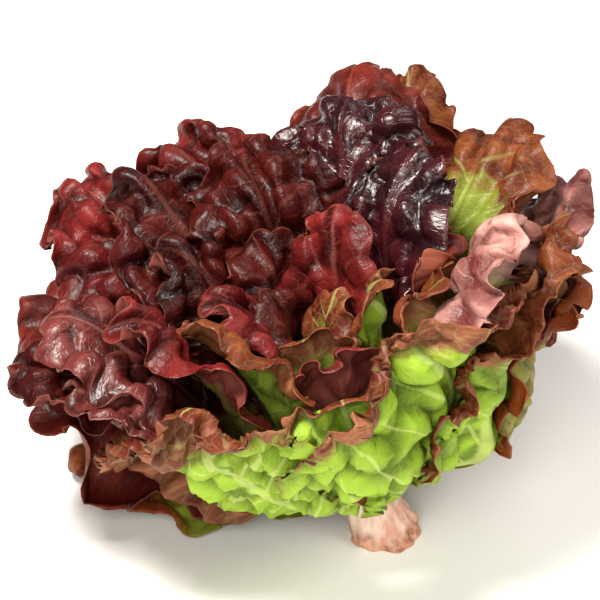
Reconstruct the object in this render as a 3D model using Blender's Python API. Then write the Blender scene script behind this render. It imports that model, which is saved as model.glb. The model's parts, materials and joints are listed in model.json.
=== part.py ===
"""A head of red leaf lettuce: a cut stump and the loose, ruffled leaves that grow from it.

Run it with: blender --background --python part.py

Metres, +Z up. The origin is the centre of the stump's slanted cut face, which stands on the
surface. The head leans back and to the left, and its lowest leaves lie on the same surface.

Each leaf is first laid out flat, with x across it and y along its midrib. The midrib is then
curved out of the stump, the rows across it are wrapped round the head, the margin is thrown into
waves, and the whole leaf is bent outwards until it is clear of the leaves inside it. All this is
worked out in millimetres in the plant's own frame, whose +Z is its stem.
"""

import math
from dataclasses import dataclass

import bmesh
import bpy
import numpy as np
from mathutils import Matrix, Vector
from mathutils.bvhtree import BVHTree

MM = 0.001

# How the head lies: its stem leans from the vertical, towards the back left.
LEAN_DEG = 19.0
LEAN_TOWARDS_DEG = 154.0

# The stump, in millimetres: a foot that widens, a neck and a domed crown, with scars round the foot.
STUMP_FOOT_RADIUS = 15.5
STUMP_NECK_RADIUS = 12.5
STUMP_FOOT_TOP = 18.0
STUMP_BELOW = -4.0
STUMP_SHOULDER = 34.0
STUMP_TOP = 52.0
STUMP_START = -12.0
STUMP_RINGS = 8
STUMP_CROWN_RINGS = (0.5, 0.2, 0.03)
STUMP_SIDES = 24
STUMP_SCAR = 0.05
STUMP_SCARS = 5
STUMP_SCAR_HEIGHTS = (2.0, 14.0)

# The leaves' roots on the stump: the highest, how far apart in height those above one another
# are, and how near in direction leaves count as above one another, which is more at the crown.
ROOT_HIGHEST = STUMP_TOP - 1.5
ROOT_PITCH = 2.7
ROOT_SPREAD_DEG = 44.0
CROWN_SPREAD = 2.0
ROOT_GAP = 0.4

# The midrib's curve: how much of the distance from root to tip its two handles take.
MIDRIB_HANDLE = 0.38
MIDRIB_SAMPLES = 96

# The flat outline, in shares of the leaf's length and width. A row's sides lie behind its middle.
PETIOLE_WIDTH = 11.0
BLADE_FROM = 0.06
BLADE_SPREAD = 0.56
BLADE_FULLNESS = 1.3
TIP_FROM = 0.6
TIP_PAST = 1.12
TIP_BLUNTNESS = 1.5
TIP_NARROWING = 0.52
ROW_BEND = 0.13

# The blade and its midrib, in millimetres. The midrib thins towards the tip.
BLADE_THICKNESS = 0.9
RIB_THICKNESS = 3.0
RIB_HALF_WIDTH = 4.5
RIB_FADE = 1.3
WIDE_LEAF = 100.0
LEAST_SIZE = 0.6

# Where the margin starts across and along the leaf, and how it gathers its folds.
MARGIN_ACROSS = 2.2
MARGIN_ALONG = 4
MARGIN_FROM = (0.08, 0.30)
MARGIN_GATHER = 1.2
MARGIN_FLARE = 3

# The folds: their length along the margin, how far their flanks lean over, and how they vary.
FOLD_LENGTH = 22.0
FOLD_GROWTH = 0.18
FOLD_ROUNDNESS = 0.3
FOLD_WANDER = 2.2
FOLD_WANDER_SCALE = 1.2
FOLD_EVEN = 0.85
FOLD_CHANGE = 0.3
FOLD_CHANGE_SCALE = 0.8

# The blade's own unevenness, and how much flatter its tip is than its middle.
UNEVEN = 0.045
UNEVEN_SCALE = 0.7
UNEVEN_FROM = (0.1, 0.4)
TIP_OPENING = 0.35
TIP_OPENING_FROM = 0.55

# Smooth noise: how many waves it sums, how they spread in pitch, and what brings them near 1.
NOISE_WAVES = 5
NOISE_PITCHES = (0.7, 1.4)
NOISE_SUM = 2.6

# Bending clear: the gap between a leaf and those inside it, where the bend starts from its root,
# how far outside points are looked from, and how it steps.
CLEARANCE = 0.9
SPARE = 0.1
ROOT_SHARE = 0.12
FREE_SHARE = 0.15
REACH_OUT = 90.0
MOST_BENDS = 30
LEAST_BENDS = 3
BEND_STEP = 0.8
CROSSING_STEP = 0.5
CALMING = 0.93

# The ways in which a leaf's points are bent: away from a line behind and below the stem's foot.
BEND_BEHIND = 22.0
BEND_BELOW = 10.0
STEEPEST_BEND_DEG = 80.0

# How high above the surface the lowest leaves stay, and how gently they flatten towards it.
FLOOR_GAP = 0.25
FLOOR_BLEND = 3.0


@dataclass(frozen=True)
class Leaf:
    """One leaf. Angles are in degrees about the stem and lengths in millimetres."""

    name: str
    azimuth: float  # direction from the stem, 0 to the right and 90 to the back
    polar: float  # angle of the tip from the stem's axis
    reach: float  # straight distance from the origin to the tip
    width: float  # across the widest part, measured along the blade
    start: float  # angle from the stem's axis at which the leaf leaves the stump
    curl: float  # how far the tip turns outwards
    cup: float  # angle that half the width wraps round the head
    wave: float  # height of the waves at the margin
    seed: int
    roll: float = 0.0  # how far the margin flares outwards
    lopsided: float = 0.0  # how much of that flare moves to the left side, seen from outside


LEAVES = (
    Leaf("inner_leaf_01", 30, 4, 122, 40, 8, 10, 80, 2.5, 1),
    Leaf("inner_leaf_02", 150, 7, 130, 46, 15, 15, 75, 3.0, 2),
    Leaf("inner_leaf_03", 265, 8, 120, 44, 20, 15, 75, 3.0, 3),
    Leaf("inner_leaf_04", 55, 13, 154, 54, 22, 20, 70, 4.0, 4),
    Leaf("inner_leaf_05", 350, 14, 134, 50, 25, 15, 70, 4.0, 5),
    Leaf("inner_leaf_06", 185, 14, 146, 56, 28, 20, 65, 4.0, 6),
    Leaf("inner_leaf_07", 115, 17, 150, 58, 30, 25, 65, 5.0, 7),
    Leaf("inner_leaf_08", 285, 15, 118, 58, 40, 5, 65, 5.0, 8),
    Leaf("middle_leaf_01", 215, 18, 148, 68, 42, 8, 60, 7.0, 9, 3),
    Leaf("middle_leaf_02", 42, 27, 180, 72, 40, 30, 60, 5.0, 10, 3),
    Leaf("middle_leaf_03", 155, 22, 168, 72, 42, 30, 60, 7.0, 11),
    Leaf("middle_leaf_04", 15, 23, 150, 68, 45, 20, 60, 7.0, 12),
    Leaf("middle_leaf_05", 195, 28, 168, 78, 50, 20, 60, 8.0, 13),
    Leaf("middle_leaf_06", 103, 29, 192, 82, 45, 30, 55, 8.0, 14),
    Leaf("middle_leaf_07", 340, 24, 146, 70, 55, 10, 55, 7.0, 15),
    Leaf("middle_leaf_08", 74, 35, 206, 100, 48, 35, 50, 5.0, 16, 4),
    Leaf("middle_leaf_09", 132, 33, 204, 86, 50, 35, 55, 8.5, 17),
    Leaf("middle_leaf_10", 44, 46, 200, 98, 55, 25, 50, 8.0, 18),
    Leaf("middle_leaf_11", 281, 24, 112, 76, 86, 0, 50, 5.0, 39),
    Leaf("outer_leaf_01", 178, 37, 184, 94, 58, 20, 50, 9.0, 20, 4),
    Leaf("outer_leaf_02", 114, 39, 218, 98, 55, 30, 50, 9.0, 21, 4),
    Leaf("outer_leaf_03", 77, 43, 228, 92, 58, 25, 50, 4.0, 22),
    Leaf("outer_leaf_04", 352, 34, 174, 84, 60, 20, 60, 8.0, 23, 4),
    Leaf("outer_leaf_05", 198, 38, 168, 80, 60, 10, 50, 5.0, 38, 2),
    Leaf("outer_leaf_06", 184, 43, 190, 84, 62, 15, 50, 6.0, 29, 2),
    Leaf("outer_leaf_07", 232, 33, 148, 134, 84, 0, 40, 8.0, 24, 12, 1),
    Leaf("outer_leaf_08", 324, 30, 150, 142, 60, 12, 58, 8.0, 19, 6),
    Leaf("outer_leaf_09", 8, 43, 172, 84, 62, 15, 60, 7.0, 25, 4),
    Leaf("outer_leaf_10", 30, 52, 188, 88, 62, 15, 50, 7.0, 26),
    Leaf("outer_leaf_11", 134, 43, 224, 100, 62, 30, 50, 9.0, 27, 4),
    Leaf("outer_leaf_12", 155, 47, 200, 98, 68, 20, 50, 9.0, 28, 4),
    Leaf("outer_leaf_13", 69, 47, 228, 60, 64, 10, 45, 4.0, 30),
    Leaf("outer_leaf_14", 338, 38, 130, 76, 75, 5, 50, 6.0, 31, 2),
    Leaf("outer_leaf_15", 12, 50, 154, 76, 72, 10, 55, 6.0, 32, 2),
    Leaf("outer_leaf_16", 95, 57, 200, 94, 70, 20, 45, 8.0, 33),
    Leaf("outer_leaf_17", 122, 62, 190, 94, 75, 15, 45, 8.0, 34),
    Leaf("outer_leaf_18", 162, 66, 152, 66, 80, 5, 40, 3.0, 35),
    Leaf("outer_leaf_19", 60, 68, 176, 92, 82, 10, 40, 8.0, 36),
    Leaf("outer_leaf_20", 98, 74, 150, 84, 85, 5, 30, 6.0, 37),
)


# Colour and roughness of each kind of piece, and the leaves that aren't burgundy.
LOOKS = {
    "stump": ((0.78, 0.52, 0.40), 0.55),
    "burgundy_leaf": ((0.10, 0.015, 0.02), 0.35),
    "bronze_leaf": ((0.24, 0.08, 0.04), 0.42),
    "green_leaf": ((0.33, 0.45, 0.10), 0.45),
}
TINTS = {
    "green_leaf": ("inner_leaf_01", "outer_leaf_07", "outer_leaf_08", "outer_leaf_14"),
    "bronze_leaf": (
        "inner_leaf_03",
        "inner_leaf_08",
        "middle_leaf_01",
        "middle_leaf_07",
        "middle_leaf_11",
        "outer_leaf_18",
    ),
}


# Columns and rows of the solids, by where in the head the leaf stands.
GRIDS = {"inner": (7, 8), "middle": (9, 10), "outer": (11, 12)}


def smoothstep(low, high, value):
    share = np.clip((value - low) / (high - low), 0.0, 1.0)
    return share * share * (3.0 - 2.0 * share)


def plant_to_world():
    """The plant's frame, tilted by the least turn that takes +Z to the leaning stem."""
    toward = math.radians(LEAN_TOWARDS_DEG)
    axis = Vector((-math.sin(toward), math.cos(toward), 0.0))
    return Matrix.Rotation(math.radians(LEAN_DEG), 3, axis)


TO_WORLD = np.array(plant_to_world())


def stump_radius(height):
    """Radius of the stump at a height along its stem: a foot, a neck and a domed crown."""
    widening = 1.0 - smoothstep(STUMP_BELOW, STUMP_FOOT_TOP, height)
    neck = STUMP_NECK_RADIUS + (STUMP_FOOT_RADIUS - STUMP_NECK_RADIUS) * widening
    dome = np.clip((height - STUMP_SHOULDER) / (STUMP_TOP - STUMP_SHOULDER), 0.0, 1.0)
    return neck * np.sqrt(np.clip(1.0 - dome**2, 0.0, 1.0))


def apart(a, b):
    """The angle between two directions, in degrees."""
    return abs((a - b + 180.0) % 360.0 - 180.0)


def root_heights():
    """How high on the stump each leaf is rooted: below every leaf inside it that it would meet."""
    heights = {}
    for leaf in LEAVES:
        height = ROOT_HIGHEST
        for other in LEAVES[: LEAVES.index(leaf)]:
            crown = smoothstep(STUMP_SHOULDER, STUMP_TOP, heights[other.name])
            spread = ROOT_SPREAD_DEG * (1.0 + CROWN_SPREAD * crown)
            if apart(leaf.azimuth, other.azimuth) < spread:
                height = min(height, heights[other.name] - ROOT_PITCH)
        heights[leaf.name] = height
    return heights


ROOT_HEIGHTS = root_heights()


def midrib_of(leaf):
    """The midrib's points in its own plane, as (out, up), and their distances along it."""
    polar = math.radians(leaf.polar)
    start = math.radians(leaf.start)
    end = math.radians(leaf.polar + leaf.curl)
    height = ROOT_HEIGHTS[leaf.name]
    clear = stump_radius(height) + ROOT_GAP + 0.5 * RIB_THICKNESS * math.cos(start)
    root = np.array([clear, height])
    tip = leaf.reach * np.array([math.sin(polar), math.cos(polar)])
    handle = MIDRIB_HANDLE * np.linalg.norm(tip - root)
    first = root + handle * np.array([math.sin(start), math.cos(start)])
    last = tip - handle * np.array([math.sin(end), math.cos(end)])
    t = np.linspace(0.0, 1.0, MIDRIB_SAMPLES)[:, None]
    points = (1 - t) ** 3 * root + 3 * t * (1 - t) ** 2 * first
    points = points + 3 * t**2 * (1 - t) * last + t**3 * tip
    along = np.concatenate([[0.0], np.cumsum(np.linalg.norm(np.diff(points, axis=0), axis=1))])
    return points, along


def size_of(leaf):
    """How thick the leaf's petiole and midrib are, as a share of those of a wide leaf."""
    return LEAST_SIZE + (1.0 - LEAST_SIZE) * leaf.width / WIDE_LEAF


def outline(leaf, v):
    """Half width of the flat leaf at v, 0 at its root and 1 at its tip."""
    petiole = 0.5 * PETIOLE_WIDTH * size_of(leaf)
    opening = np.clip((v - BLADE_FROM) / BLADE_SPREAD, 0.0, 1.0)
    blade = np.sin(0.5 * math.pi * opening) ** BLADE_FULLNESS
    tip = smoothstep(TIP_FROM, TIP_PAST, v) ** TIP_BLUNTNESS
    return petiole + (0.5 * leaf.width - petiole) * blade * (1.0 - TIP_NARROWING * tip)


def noise(leaf, x, y, scale, salt):
    """Smooth noise of about -1 to 1 over the leaf, the same each time."""
    draw = np.random.default_rng(1000 * leaf.seed + salt)
    total = np.zeros_like(x)
    for _ in range(NOISE_WAVES):
        angle = draw.uniform(0.0, 2.0 * math.pi)
        pitch = draw.uniform(*NOISE_PITCHES) * 2.0 * math.pi / scale
        shift = draw.uniform(0.0, 2.0 * math.pi)
        total += np.sin(pitch * (x * math.cos(angle) + y * math.sin(angle)) + shift)
    return total / NOISE_SUM


def sheet(leaf, calm, u, v):
    """The leaf's mid-surface before it is bent clear, and its outward directions."""
    midrib, along = midrib_of(leaf)
    length = along[-1]
    half = 0.5 * leaf.width
    x = outline(leaf, v) * u
    y = length * (v - ROW_BEND * smoothstep(0.2, 1.0, v) * u * u)

    inside = (1.0 - np.abs(u) ** MARGIN_ACROSS) * (1.0 - v**MARGIN_ALONG)
    margin = (1.0 - inside) * smoothstep(*MARGIN_FROM, v)
    fan = np.arctan2(x / half, 2.0 * y / length - 1.0)
    folds = math.pi * (half + 0.5 * length) / (FOLD_LENGTH + FOLD_GROWTH * leaf.width)
    phase = folds * fan + FOLD_WANDER * noise(leaf, x, y, FOLD_WANDER_SCALE * leaf.width, 1) + leaf.seed
    change = FOLD_CHANGE * noise(leaf, x, y, FOLD_CHANGE_SCALE * leaf.width, 2)
    strength = leaf.wave * margin**MARGIN_GATHER * (FOLD_EVEN + change) * interpolate(calm, u, v)
    lift = strength * np.sin(phase) + leaf.roll * (1.0 - leaf.lopsided * u) * margin**MARGIN_FLARE
    uneven = UNEVEN * leaf.width * smoothstep(*UNEVEN_FROM, v)
    lift += uneven * noise(leaf, x, y, UNEVEN_SCALE * leaf.width, 3)
    slide = FOLD_ROUNDNESS * strength * np.sin(2.0 * phase)
    x = x - slide * np.cos(fan)
    y = np.clip(y + slide * np.sin(fan), 0.0, None)

    past = np.clip(y - length, 0.0, None)
    slope = np.gradient(midrib, along, axis=0)
    slope /= np.linalg.norm(slope, axis=1)[:, None]
    out, up = (np.interp(y, along, midrib[:, k]) for k in (0, 1))
    t_out, t_up = (np.interp(y, along, slope[:, k])[..., None] for k in (0, 1))

    azimuth = math.radians(leaf.azimuth)
    away = np.array([math.cos(azimuth), math.sin(azimuth), 0.0])
    side = np.array([-math.sin(azimuth), math.cos(azimuth), 0.0])
    stem = np.array([0.0, 0.0, 1.0])
    tangent = t_out * away + t_up * stem
    outward = t_up * away - t_out * stem

    wrap = math.radians(leaf.cup) / half * (1.0 - TIP_OPENING * smoothstep(TIP_OPENING_FROM, 1.0, v))
    angle = (wrap * x)[..., None]
    radius = (1.0 / wrap)[..., None]
    centre = out[..., None] * away + up[..., None] * stem + past[..., None] * tangent
    ring = side * radius * np.sin(angle) - outward * radius * (1.0 - np.cos(angle))
    normal = outward * np.cos(angle) + side * np.sin(angle)
    points = centre + ring + normal * lift[..., None]

    radial = points[..., :2] + BEND_BEHIND * away[:2]
    radial = radial / np.linalg.norm(radial, axis=-1)[..., None]
    polar = np.arctan2(np.linalg.norm(points[..., :2], axis=-1), points[..., 2] + BEND_BELOW)
    down = 0.5 * polar + 0.5 * np.arctan2(t_out, t_up)[..., 0]
    down = np.clip(down, 0.0, math.radians(STEEPEST_BEND_DEG))
    ways = np.concatenate([radial * np.cos(down)[..., None], -np.sin(down)[..., None]], axis=-1)
    return points, ways


def interpolate(lattice, u, v):
    """A smooth reading of a lattice of values over the leaf, by cubic B-splines."""

    def weights(share, count):
        place = share * (count - 1)
        cell = np.clip(np.floor(place).astype(int), 0, count - 2)
        t = place - cell
        basis = (
            (1 - t) ** 3 / 6,
            (3 * t**3 - 6 * t**2 + 4) / 6,
            (-3 * t**3 + 3 * t**2 + 3 * t + 1) / 6,
            t**3 / 6,
        )
        return [(np.clip(cell + k - 1, 0, count - 1), basis[k]) for k in range(4)]

    total = np.zeros_like(u)
    for i, wi in weights((u + 1.0) / 2.0, lattice.shape[0]):
        for j, wj in weights(v, lattice.shape[1]):
            total += wi * wj * lattice[i, j]
    return total


def above_floor(points, gap):
    """The same points, lifted smoothly where they would come nearer to the surface than gap."""
    over = points @ TO_WORLD[2] - gap
    bent = 0.5 * (over + np.sqrt(over**2 + FLOOR_BLEND**2)) - 0.5 * FLOOR_BLEND
    free = smoothstep(2.0 * FLOOR_BLEND, 4.0 * FLOOR_BLEND, over)
    lifted = free * over + (1.0 - free) * np.maximum(bent, 0.0)
    return points + (lifted - over)[..., None] * TO_WORLD[2]


def shape(leaf, bend, u, v):
    """The leaf's mid-surface in the plant's frame, once it has been bent clear."""
    push, calm = bend
    points, ways = sheet(leaf, calm, u, v)
    points = points + ways * interpolate(push, u, v)[..., None]
    return above_floor(points, FLOOR_GAP + 0.5 * thickness(leaf, u, v))


def halves_of(across, along):
    """The two triangles of each cell of a grid, as indices of its points, in an alternating way."""
    triangles = []
    for i in range(across - 1):
        for j in range(along - 1):
            a, b = i * along + j, (i + 1) * along + j
            c, d = b + 1, a + 1
            triangles += [(a, b, c), (a, c, d)] if (i + j) % 2 else [(a, b, d), (b, c, d)]
    return triangles


def normals_of(points):
    """Unit normals of a grid of points, towards the leaf's outer face, from its triangles."""
    flat = points.reshape(-1, 3)
    triangles = np.array(halves_of(*points.shape[:2]))
    a, b, c = (flat[triangles[:, k]] for k in range(3))
    face = np.cross(b - a, c - a)
    face = face / np.linalg.norm(face, axis=1)[:, None]
    normal = np.zeros_like(flat)
    for k in range(3):
        np.add.at(normal, triangles[:, k], face)
    normal = normal / np.linalg.norm(normal, axis=1)[:, None]
    return normal.reshape(points.shape)


def thickness(leaf, u, v):
    """Full thickness, with the midrib thick at the root and fading out along the leaf."""
    x = np.abs(outline(leaf, v) * u)
    rib = np.clip(1.0 - x / RIB_HALF_WIDTH, 0.0, 1.0) * (1.0 - v) ** RIB_FADE
    return BLADE_THICKNESS + size_of(leaf) * (RIB_THICKNESS - BLADE_THICKNESS) * rib


def leaf_grid(leaf):
    """How many columns and rows the leaf's solid has."""
    return GRIDS[leaf.name.split("_")[0]]


def solid_grid(leaf):
    across, along = leaf_grid(leaf)
    return np.meshgrid(np.linspace(-1.0, 1.0, across), np.linspace(0.0, 1.0, along), indexing="ij")


def solid_of(leaf, bend):
    """Vertices and triangles of the leaf as a closed blade, in the plant's frame."""
    across, along = leaf_grid(leaf)
    u, v = solid_grid(leaf)
    middle = shape(leaf, bend, u, v)
    normal = normals_of(middle)
    half = 0.5 * thickness(leaf, u, v)[..., None]
    outer = (middle + normal * half).reshape(-1, 3)
    inner = (middle - normal * half).reshape(-1, 3)
    count = across * along

    def index(i, j):
        return i * along + j

    faces = []
    for p, q, r in halves_of(across, along):
        faces.append((p, q, r))
        faces.append((r + count, q + count, p + count))
    rim = [index(i, 0) for i in range(across)]
    rim += [index(across - 1, j) for j in range(1, along)]
    rim += [index(i, along - 1) for i in range(across - 2, -1, -1)]
    rim += [index(0, j) for j in range(along - 2, 0, -1)]
    for p, q in zip(rim, rim[1:] + rim[:1]):
        faces.append((p, p + count, q + count))
        faces.append((p, q + count, q))
    return np.concatenate([outer, inner]), faces


def tree_of(solids):
    """One search tree of several solids."""
    points, faces = [], []
    for solid_points, solid_faces in solids:
        first = len(points)
        points += [tuple(p) for p in solid_points]
        faces += [tuple(first + k for k in face) for face in solid_faces]
    return BVHTree.FromPolygons(points, faces)


def between(grid):
    """A grid of points with one more point halfway between each pair of neighbours."""
    wide = np.empty((2 * grid.shape[0] - 1, grid.shape[1]) + grid.shape[2:])
    wide[::2] = grid
    wide[1::2] = 0.5 * (grid[1:] + grid[:-1])
    full = np.empty((wide.shape[0], 2 * grid.shape[1] - 1) + grid.shape[2:])
    full[:, ::2] = wide
    full[:, 1::2] = 0.5 * (wide[:, 1:] + wide[:, :-1])
    return full


def still_needed(leaf, bend, tree):
    """How much further out each point of the leaf has to go, at its grid's half steps."""
    u, v = solid_grid(leaf)
    points = between(shape(leaf, bend, u, v))
    ways = between(sheet(leaf, bend[1], u, v)[1])
    gap = between(0.5 * thickness(leaf, u, v) + CLEARANCE * smoothstep(0.0, FREE_SHARE, v) + SPARE)
    need = np.zeros(gap.shape)
    for i, j in np.ndindex(gap.shape):
        way = Vector(ways[i, j]).normalized()
        far = REACH_OUT + gap[i, j]
        hit = tree.ray_cast(Vector(points[i, j]) + way * REACH_OUT, -way, far)
        if hit[0] is not None:
            need[i, j] = far - hit[3]
    return need


def cells_of(leaf, faces):
    """The grid cells that some of a leaf's faces belong to."""
    across, along = leaf_grid(leaf)
    rim = 4 * (across - 1) * (along - 1)
    sides = {(i, j) for i in (0, across - 2) for j in range(along - 1)}
    cells = {divmod(face // 4, along - 1) for face in faces if face < rim}
    return cells | sides if any(face >= rim for face in faces) else cells


def bend_clear(leaf, placed):
    """How the leaf is bent: its push outwards and the calming of its waves, as lattices over it.

    It is pushed until it is outside all those placed inside it. Its waves are calmed where they
    are so steep that the leaf would cross itself.
    """
    push = np.zeros(leaf_grid(leaf))
    calm = np.ones(leaf_grid(leaf))
    tree = tree_of(placed)
    root = smoothstep(0.0, ROOT_SHARE, solid_grid(leaf)[1])
    for bend in range(MOST_BENDS):
        need = still_needed(leaf, (push, calm), tree)
        padded = np.pad(need, 1, mode="edge")
        rows, cols = need.shape
        widest = np.max([padded[a : a + rows, b : b + cols] for a in range(3) for b in range(3)], axis=0)
        push = push + BEND_STEP * widest[::2, ::2] * root
        points, faces = solid_of(leaf, (push, calm))
        own = tree_of([(points, faces)])
        crossed = cells_of(leaf, [a for a, _ in own.overlap(tree)])
        for i, j in crossed:
            push[i : i + 2, j : j + 2] += CROSSING_STEP * root[i : i + 2, j : j + 2]
        corners = [set(face) for face in faces]
        folded = cells_of(leaf, [a for a, b in own.overlap(own) if not corners[a] & corners[b]])
        for i, j in folded:
            calm[max(i - 1, 0) : i + 3, max(j - 1, 0) : j + 3] *= CALMING
        if not crossed and not folded and bend >= LEAST_BENDS:
            break
    return push, calm


def head():
    """(leaf, bend) for each leaf, from the innermost outwards."""
    placed, made = [stump_solid()], []
    for leaf in LEAVES:
        bend = bend_clear(leaf, placed)
        placed.append(solid_of(leaf, bend))
        made.append((leaf, bend))
    return made


def stump_solid():
    """Vertices and triangles of the stump, turned about its stem, before its foot is cut."""
    neck = np.linspace(STUMP_START, STUMP_SHOULDER, STUMP_RINGS)
    crown = STUMP_TOP - (STUMP_TOP - STUMP_SHOULDER) * np.array(STUMP_CROWN_RINGS)
    heights = np.concatenate([neck, crown])
    points = [(0.0, 0.0, heights[0])]
    for height in heights:
        for k in range(STUMP_SIDES):
            turn = 2.0 * math.pi * k / STUMP_SIDES
            low = 1.0 - smoothstep(*STUMP_SCAR_HEIGHTS, height)
            scar = STUMP_SCAR * low * math.sin(STUMP_SCARS * turn + 1.0)
            radius = stump_radius(height) * (1.0 + scar)
            points.append((radius * math.cos(turn), radius * math.sin(turn), height))
    points.append((0.0, 0.0, STUMP_TOP))
    faces = []
    for ring in range(len(heights) - 1):
        for k in range(STUMP_SIDES):
            a = 1 + ring * STUMP_SIDES + k
            b = 1 + ring * STUMP_SIDES + (k + 1) % STUMP_SIDES
            faces += [(a, b, b + STUMP_SIDES), (a, b + STUMP_SIDES, a + STUMP_SIDES)]
    top = 1 + (len(heights) - 1) * STUMP_SIDES
    for k in range(STUMP_SIDES):
        following = (k + 1) % STUMP_SIDES
        faces.append((0, 1 + following, 1 + k))
        faces.append((top + k, top + following, len(points) - 1))
    return np.array(points), faces


def cut_foot(mesh):
    """Cuts the stump along the surface that it stands on, which leaves its slanted face."""
    bm = bmesh.new()
    bm.from_mesh(mesh)
    cut = bmesh.ops.bisect_plane(
        bm,
        geom=bm.verts[:] + bm.edges[:] + bm.faces[:],
        dist=1e-7,
        plane_co=(0.0, 0.0, 0.0),
        plane_no=Vector(TO_WORLD[2]),
        clear_inner=True,
    )
    edge = [item for item in cut["geom_cut"] if isinstance(item, bmesh.types.BMEdge)]
    bmesh.ops.contextual_create(bm, geom=edge)
    bmesh.ops.recalc_face_normals(bm, faces=bm.faces[:])
    bm.to_mesh(mesh)
    bm.free()


def material(name, colour, roughness):
    made = bpy.data.materials.new(name)
    made.use_nodes = True
    shader = made.node_tree.nodes["Principled BSDF"]
    shader.inputs["Base Color"].default_value = (*colour, 1.0)
    shader.inputs["Roughness"].default_value = roughness
    shader.inputs["Metallic"].default_value = 0.0
    return made


def add(name, solid, look, stem):
    """Adds one solid, given in the plant's frame, as an object that leans with the stem."""
    points, faces = solid
    mesh = bpy.data.meshes.new(name)
    mesh.from_pydata((points * MM).tolist(), [], faces)
    mesh.materials.append(look)
    made = bpy.data.objects.new(name, mesh)
    made.parent = stem
    bpy.context.scene.collection.objects.link(made)
    return made


def main():
    for old in list(bpy.data.objects):
        bpy.data.objects.remove(old)
    looks = {name: material(name, *look) for name, look in LOOKS.items()}

    stem = bpy.data.objects.new("stem_axis", None)
    stem.rotation_euler = plant_to_world().to_euler()
    bpy.context.scene.collection.objects.link(stem)

    stump = add("stump", stump_solid(), looks["stump"], stem)
    cut_foot(stump.data)
    for leaf, bend in head():
        tint = next((name for name, leaves in TINTS.items() if leaf.name in leaves), "burgundy_leaf")
        add(leaf.name, solid_of(leaf, bend), looks[tint], stem)


if __name__ == "__main__":
    main()
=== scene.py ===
"""The looks of a head of red leaf lettuce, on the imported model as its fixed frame.

Each leaf is laid out, folded and bent clear just as in the part's source, and is then drawn on a
fine grid: smaller ruffles and lobes at its margin, blisters between its veins, and a thin blade
with a raised midrib. A last small bend moves the finer leaves off one another, though some of
their margins still cross.
Lengths are in millimetres in the plant's own frame, whose +Z is its stem, until a mesh is made.
"""

import json
import math
from dataclasses import dataclass

import bmesh
import bpy
import numpy as np
from mathutils import Matrix, Vector
from mathutils.bvhtree import BVHTree

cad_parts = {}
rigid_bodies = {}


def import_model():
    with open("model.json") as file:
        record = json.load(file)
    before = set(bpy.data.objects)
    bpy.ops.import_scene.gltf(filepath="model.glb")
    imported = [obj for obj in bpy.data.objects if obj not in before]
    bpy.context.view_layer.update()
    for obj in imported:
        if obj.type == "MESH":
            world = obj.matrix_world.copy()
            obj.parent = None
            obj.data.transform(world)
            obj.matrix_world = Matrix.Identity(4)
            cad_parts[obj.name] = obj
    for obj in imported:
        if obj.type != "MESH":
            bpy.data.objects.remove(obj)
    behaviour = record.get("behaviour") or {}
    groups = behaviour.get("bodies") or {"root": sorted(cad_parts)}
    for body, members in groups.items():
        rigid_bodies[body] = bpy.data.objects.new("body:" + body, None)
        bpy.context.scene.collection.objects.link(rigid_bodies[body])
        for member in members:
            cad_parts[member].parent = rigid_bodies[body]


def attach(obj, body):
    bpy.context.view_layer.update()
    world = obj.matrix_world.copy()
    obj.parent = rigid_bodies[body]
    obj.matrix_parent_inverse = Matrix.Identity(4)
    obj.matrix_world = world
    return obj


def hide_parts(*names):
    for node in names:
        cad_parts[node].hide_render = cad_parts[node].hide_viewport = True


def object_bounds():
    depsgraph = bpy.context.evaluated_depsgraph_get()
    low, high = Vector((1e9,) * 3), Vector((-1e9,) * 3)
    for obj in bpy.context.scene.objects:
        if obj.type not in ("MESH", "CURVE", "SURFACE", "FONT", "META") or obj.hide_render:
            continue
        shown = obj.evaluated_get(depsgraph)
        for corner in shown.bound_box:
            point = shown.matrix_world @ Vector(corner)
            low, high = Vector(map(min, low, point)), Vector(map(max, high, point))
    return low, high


MM = 0.001

# How the head lies: its stem leans from the vertical, towards the back left.
LEAN_DEG = 19.0
LEAN_TOWARDS_DEG = 154.0

# The stump, in millimetres: a foot that widens, a neck and a domed crown, with scars round the foot.
STUMP_FOOT_RADIUS = 15.5
STUMP_NECK_RADIUS = 12.5
STUMP_FOOT_TOP = 18.0
STUMP_BELOW = -4.0
STUMP_SHOULDER = 34.0
STUMP_TOP = 52.0
STUMP_START = -12.0
STUMP_RINGS = 8
STUMP_CROWN_RINGS = (0.5, 0.2, 0.03)
STUMP_SIDES = 24
STUMP_SCAR = 0.05
STUMP_SCARS = 5
STUMP_SCAR_HEIGHTS = (2.0, 14.0)

# The leaves' roots on the stump: the highest, how far apart in height those above one another
# are, and how near in direction leaves count as above one another, which is more at the crown.
ROOT_HIGHEST = STUMP_TOP - 1.5
ROOT_PITCH = 2.7
ROOT_SPREAD_DEG = 44.0
CROWN_SPREAD = 2.0
ROOT_GAP = 0.4

# The midrib's curve: how much of the distance from root to tip its two handles take.
MIDRIB_HANDLE = 0.38
MIDRIB_SAMPLES = 96

# The flat outline, in shares of the leaf's length and width. A row's sides lie behind its middle.
PETIOLE_WIDTH = 11.0
BLADE_FROM = 0.06
BLADE_SPREAD = 0.56
BLADE_FULLNESS = 1.3
TIP_FROM = 0.6
TIP_PAST = 1.12
TIP_BLUNTNESS = 1.5
TIP_NARROWING = 0.52
ROW_BEND = 0.13

# The blade and its midrib, in millimetres. The midrib thins towards the tip.
BLADE_THICKNESS = 0.9
RIB_THICKNESS = 3.0
RIB_HALF_WIDTH = 4.5
RIB_FADE = 1.3
WIDE_LEAF = 100.0
LEAST_SIZE = 0.6

# Where the margin starts across and along the leaf, and how it gathers its folds.
MARGIN_ACROSS = 2.2
MARGIN_ALONG = 4
MARGIN_FROM = (0.08, 0.30)
MARGIN_GATHER = 1.2
MARGIN_FLARE = 3

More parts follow.
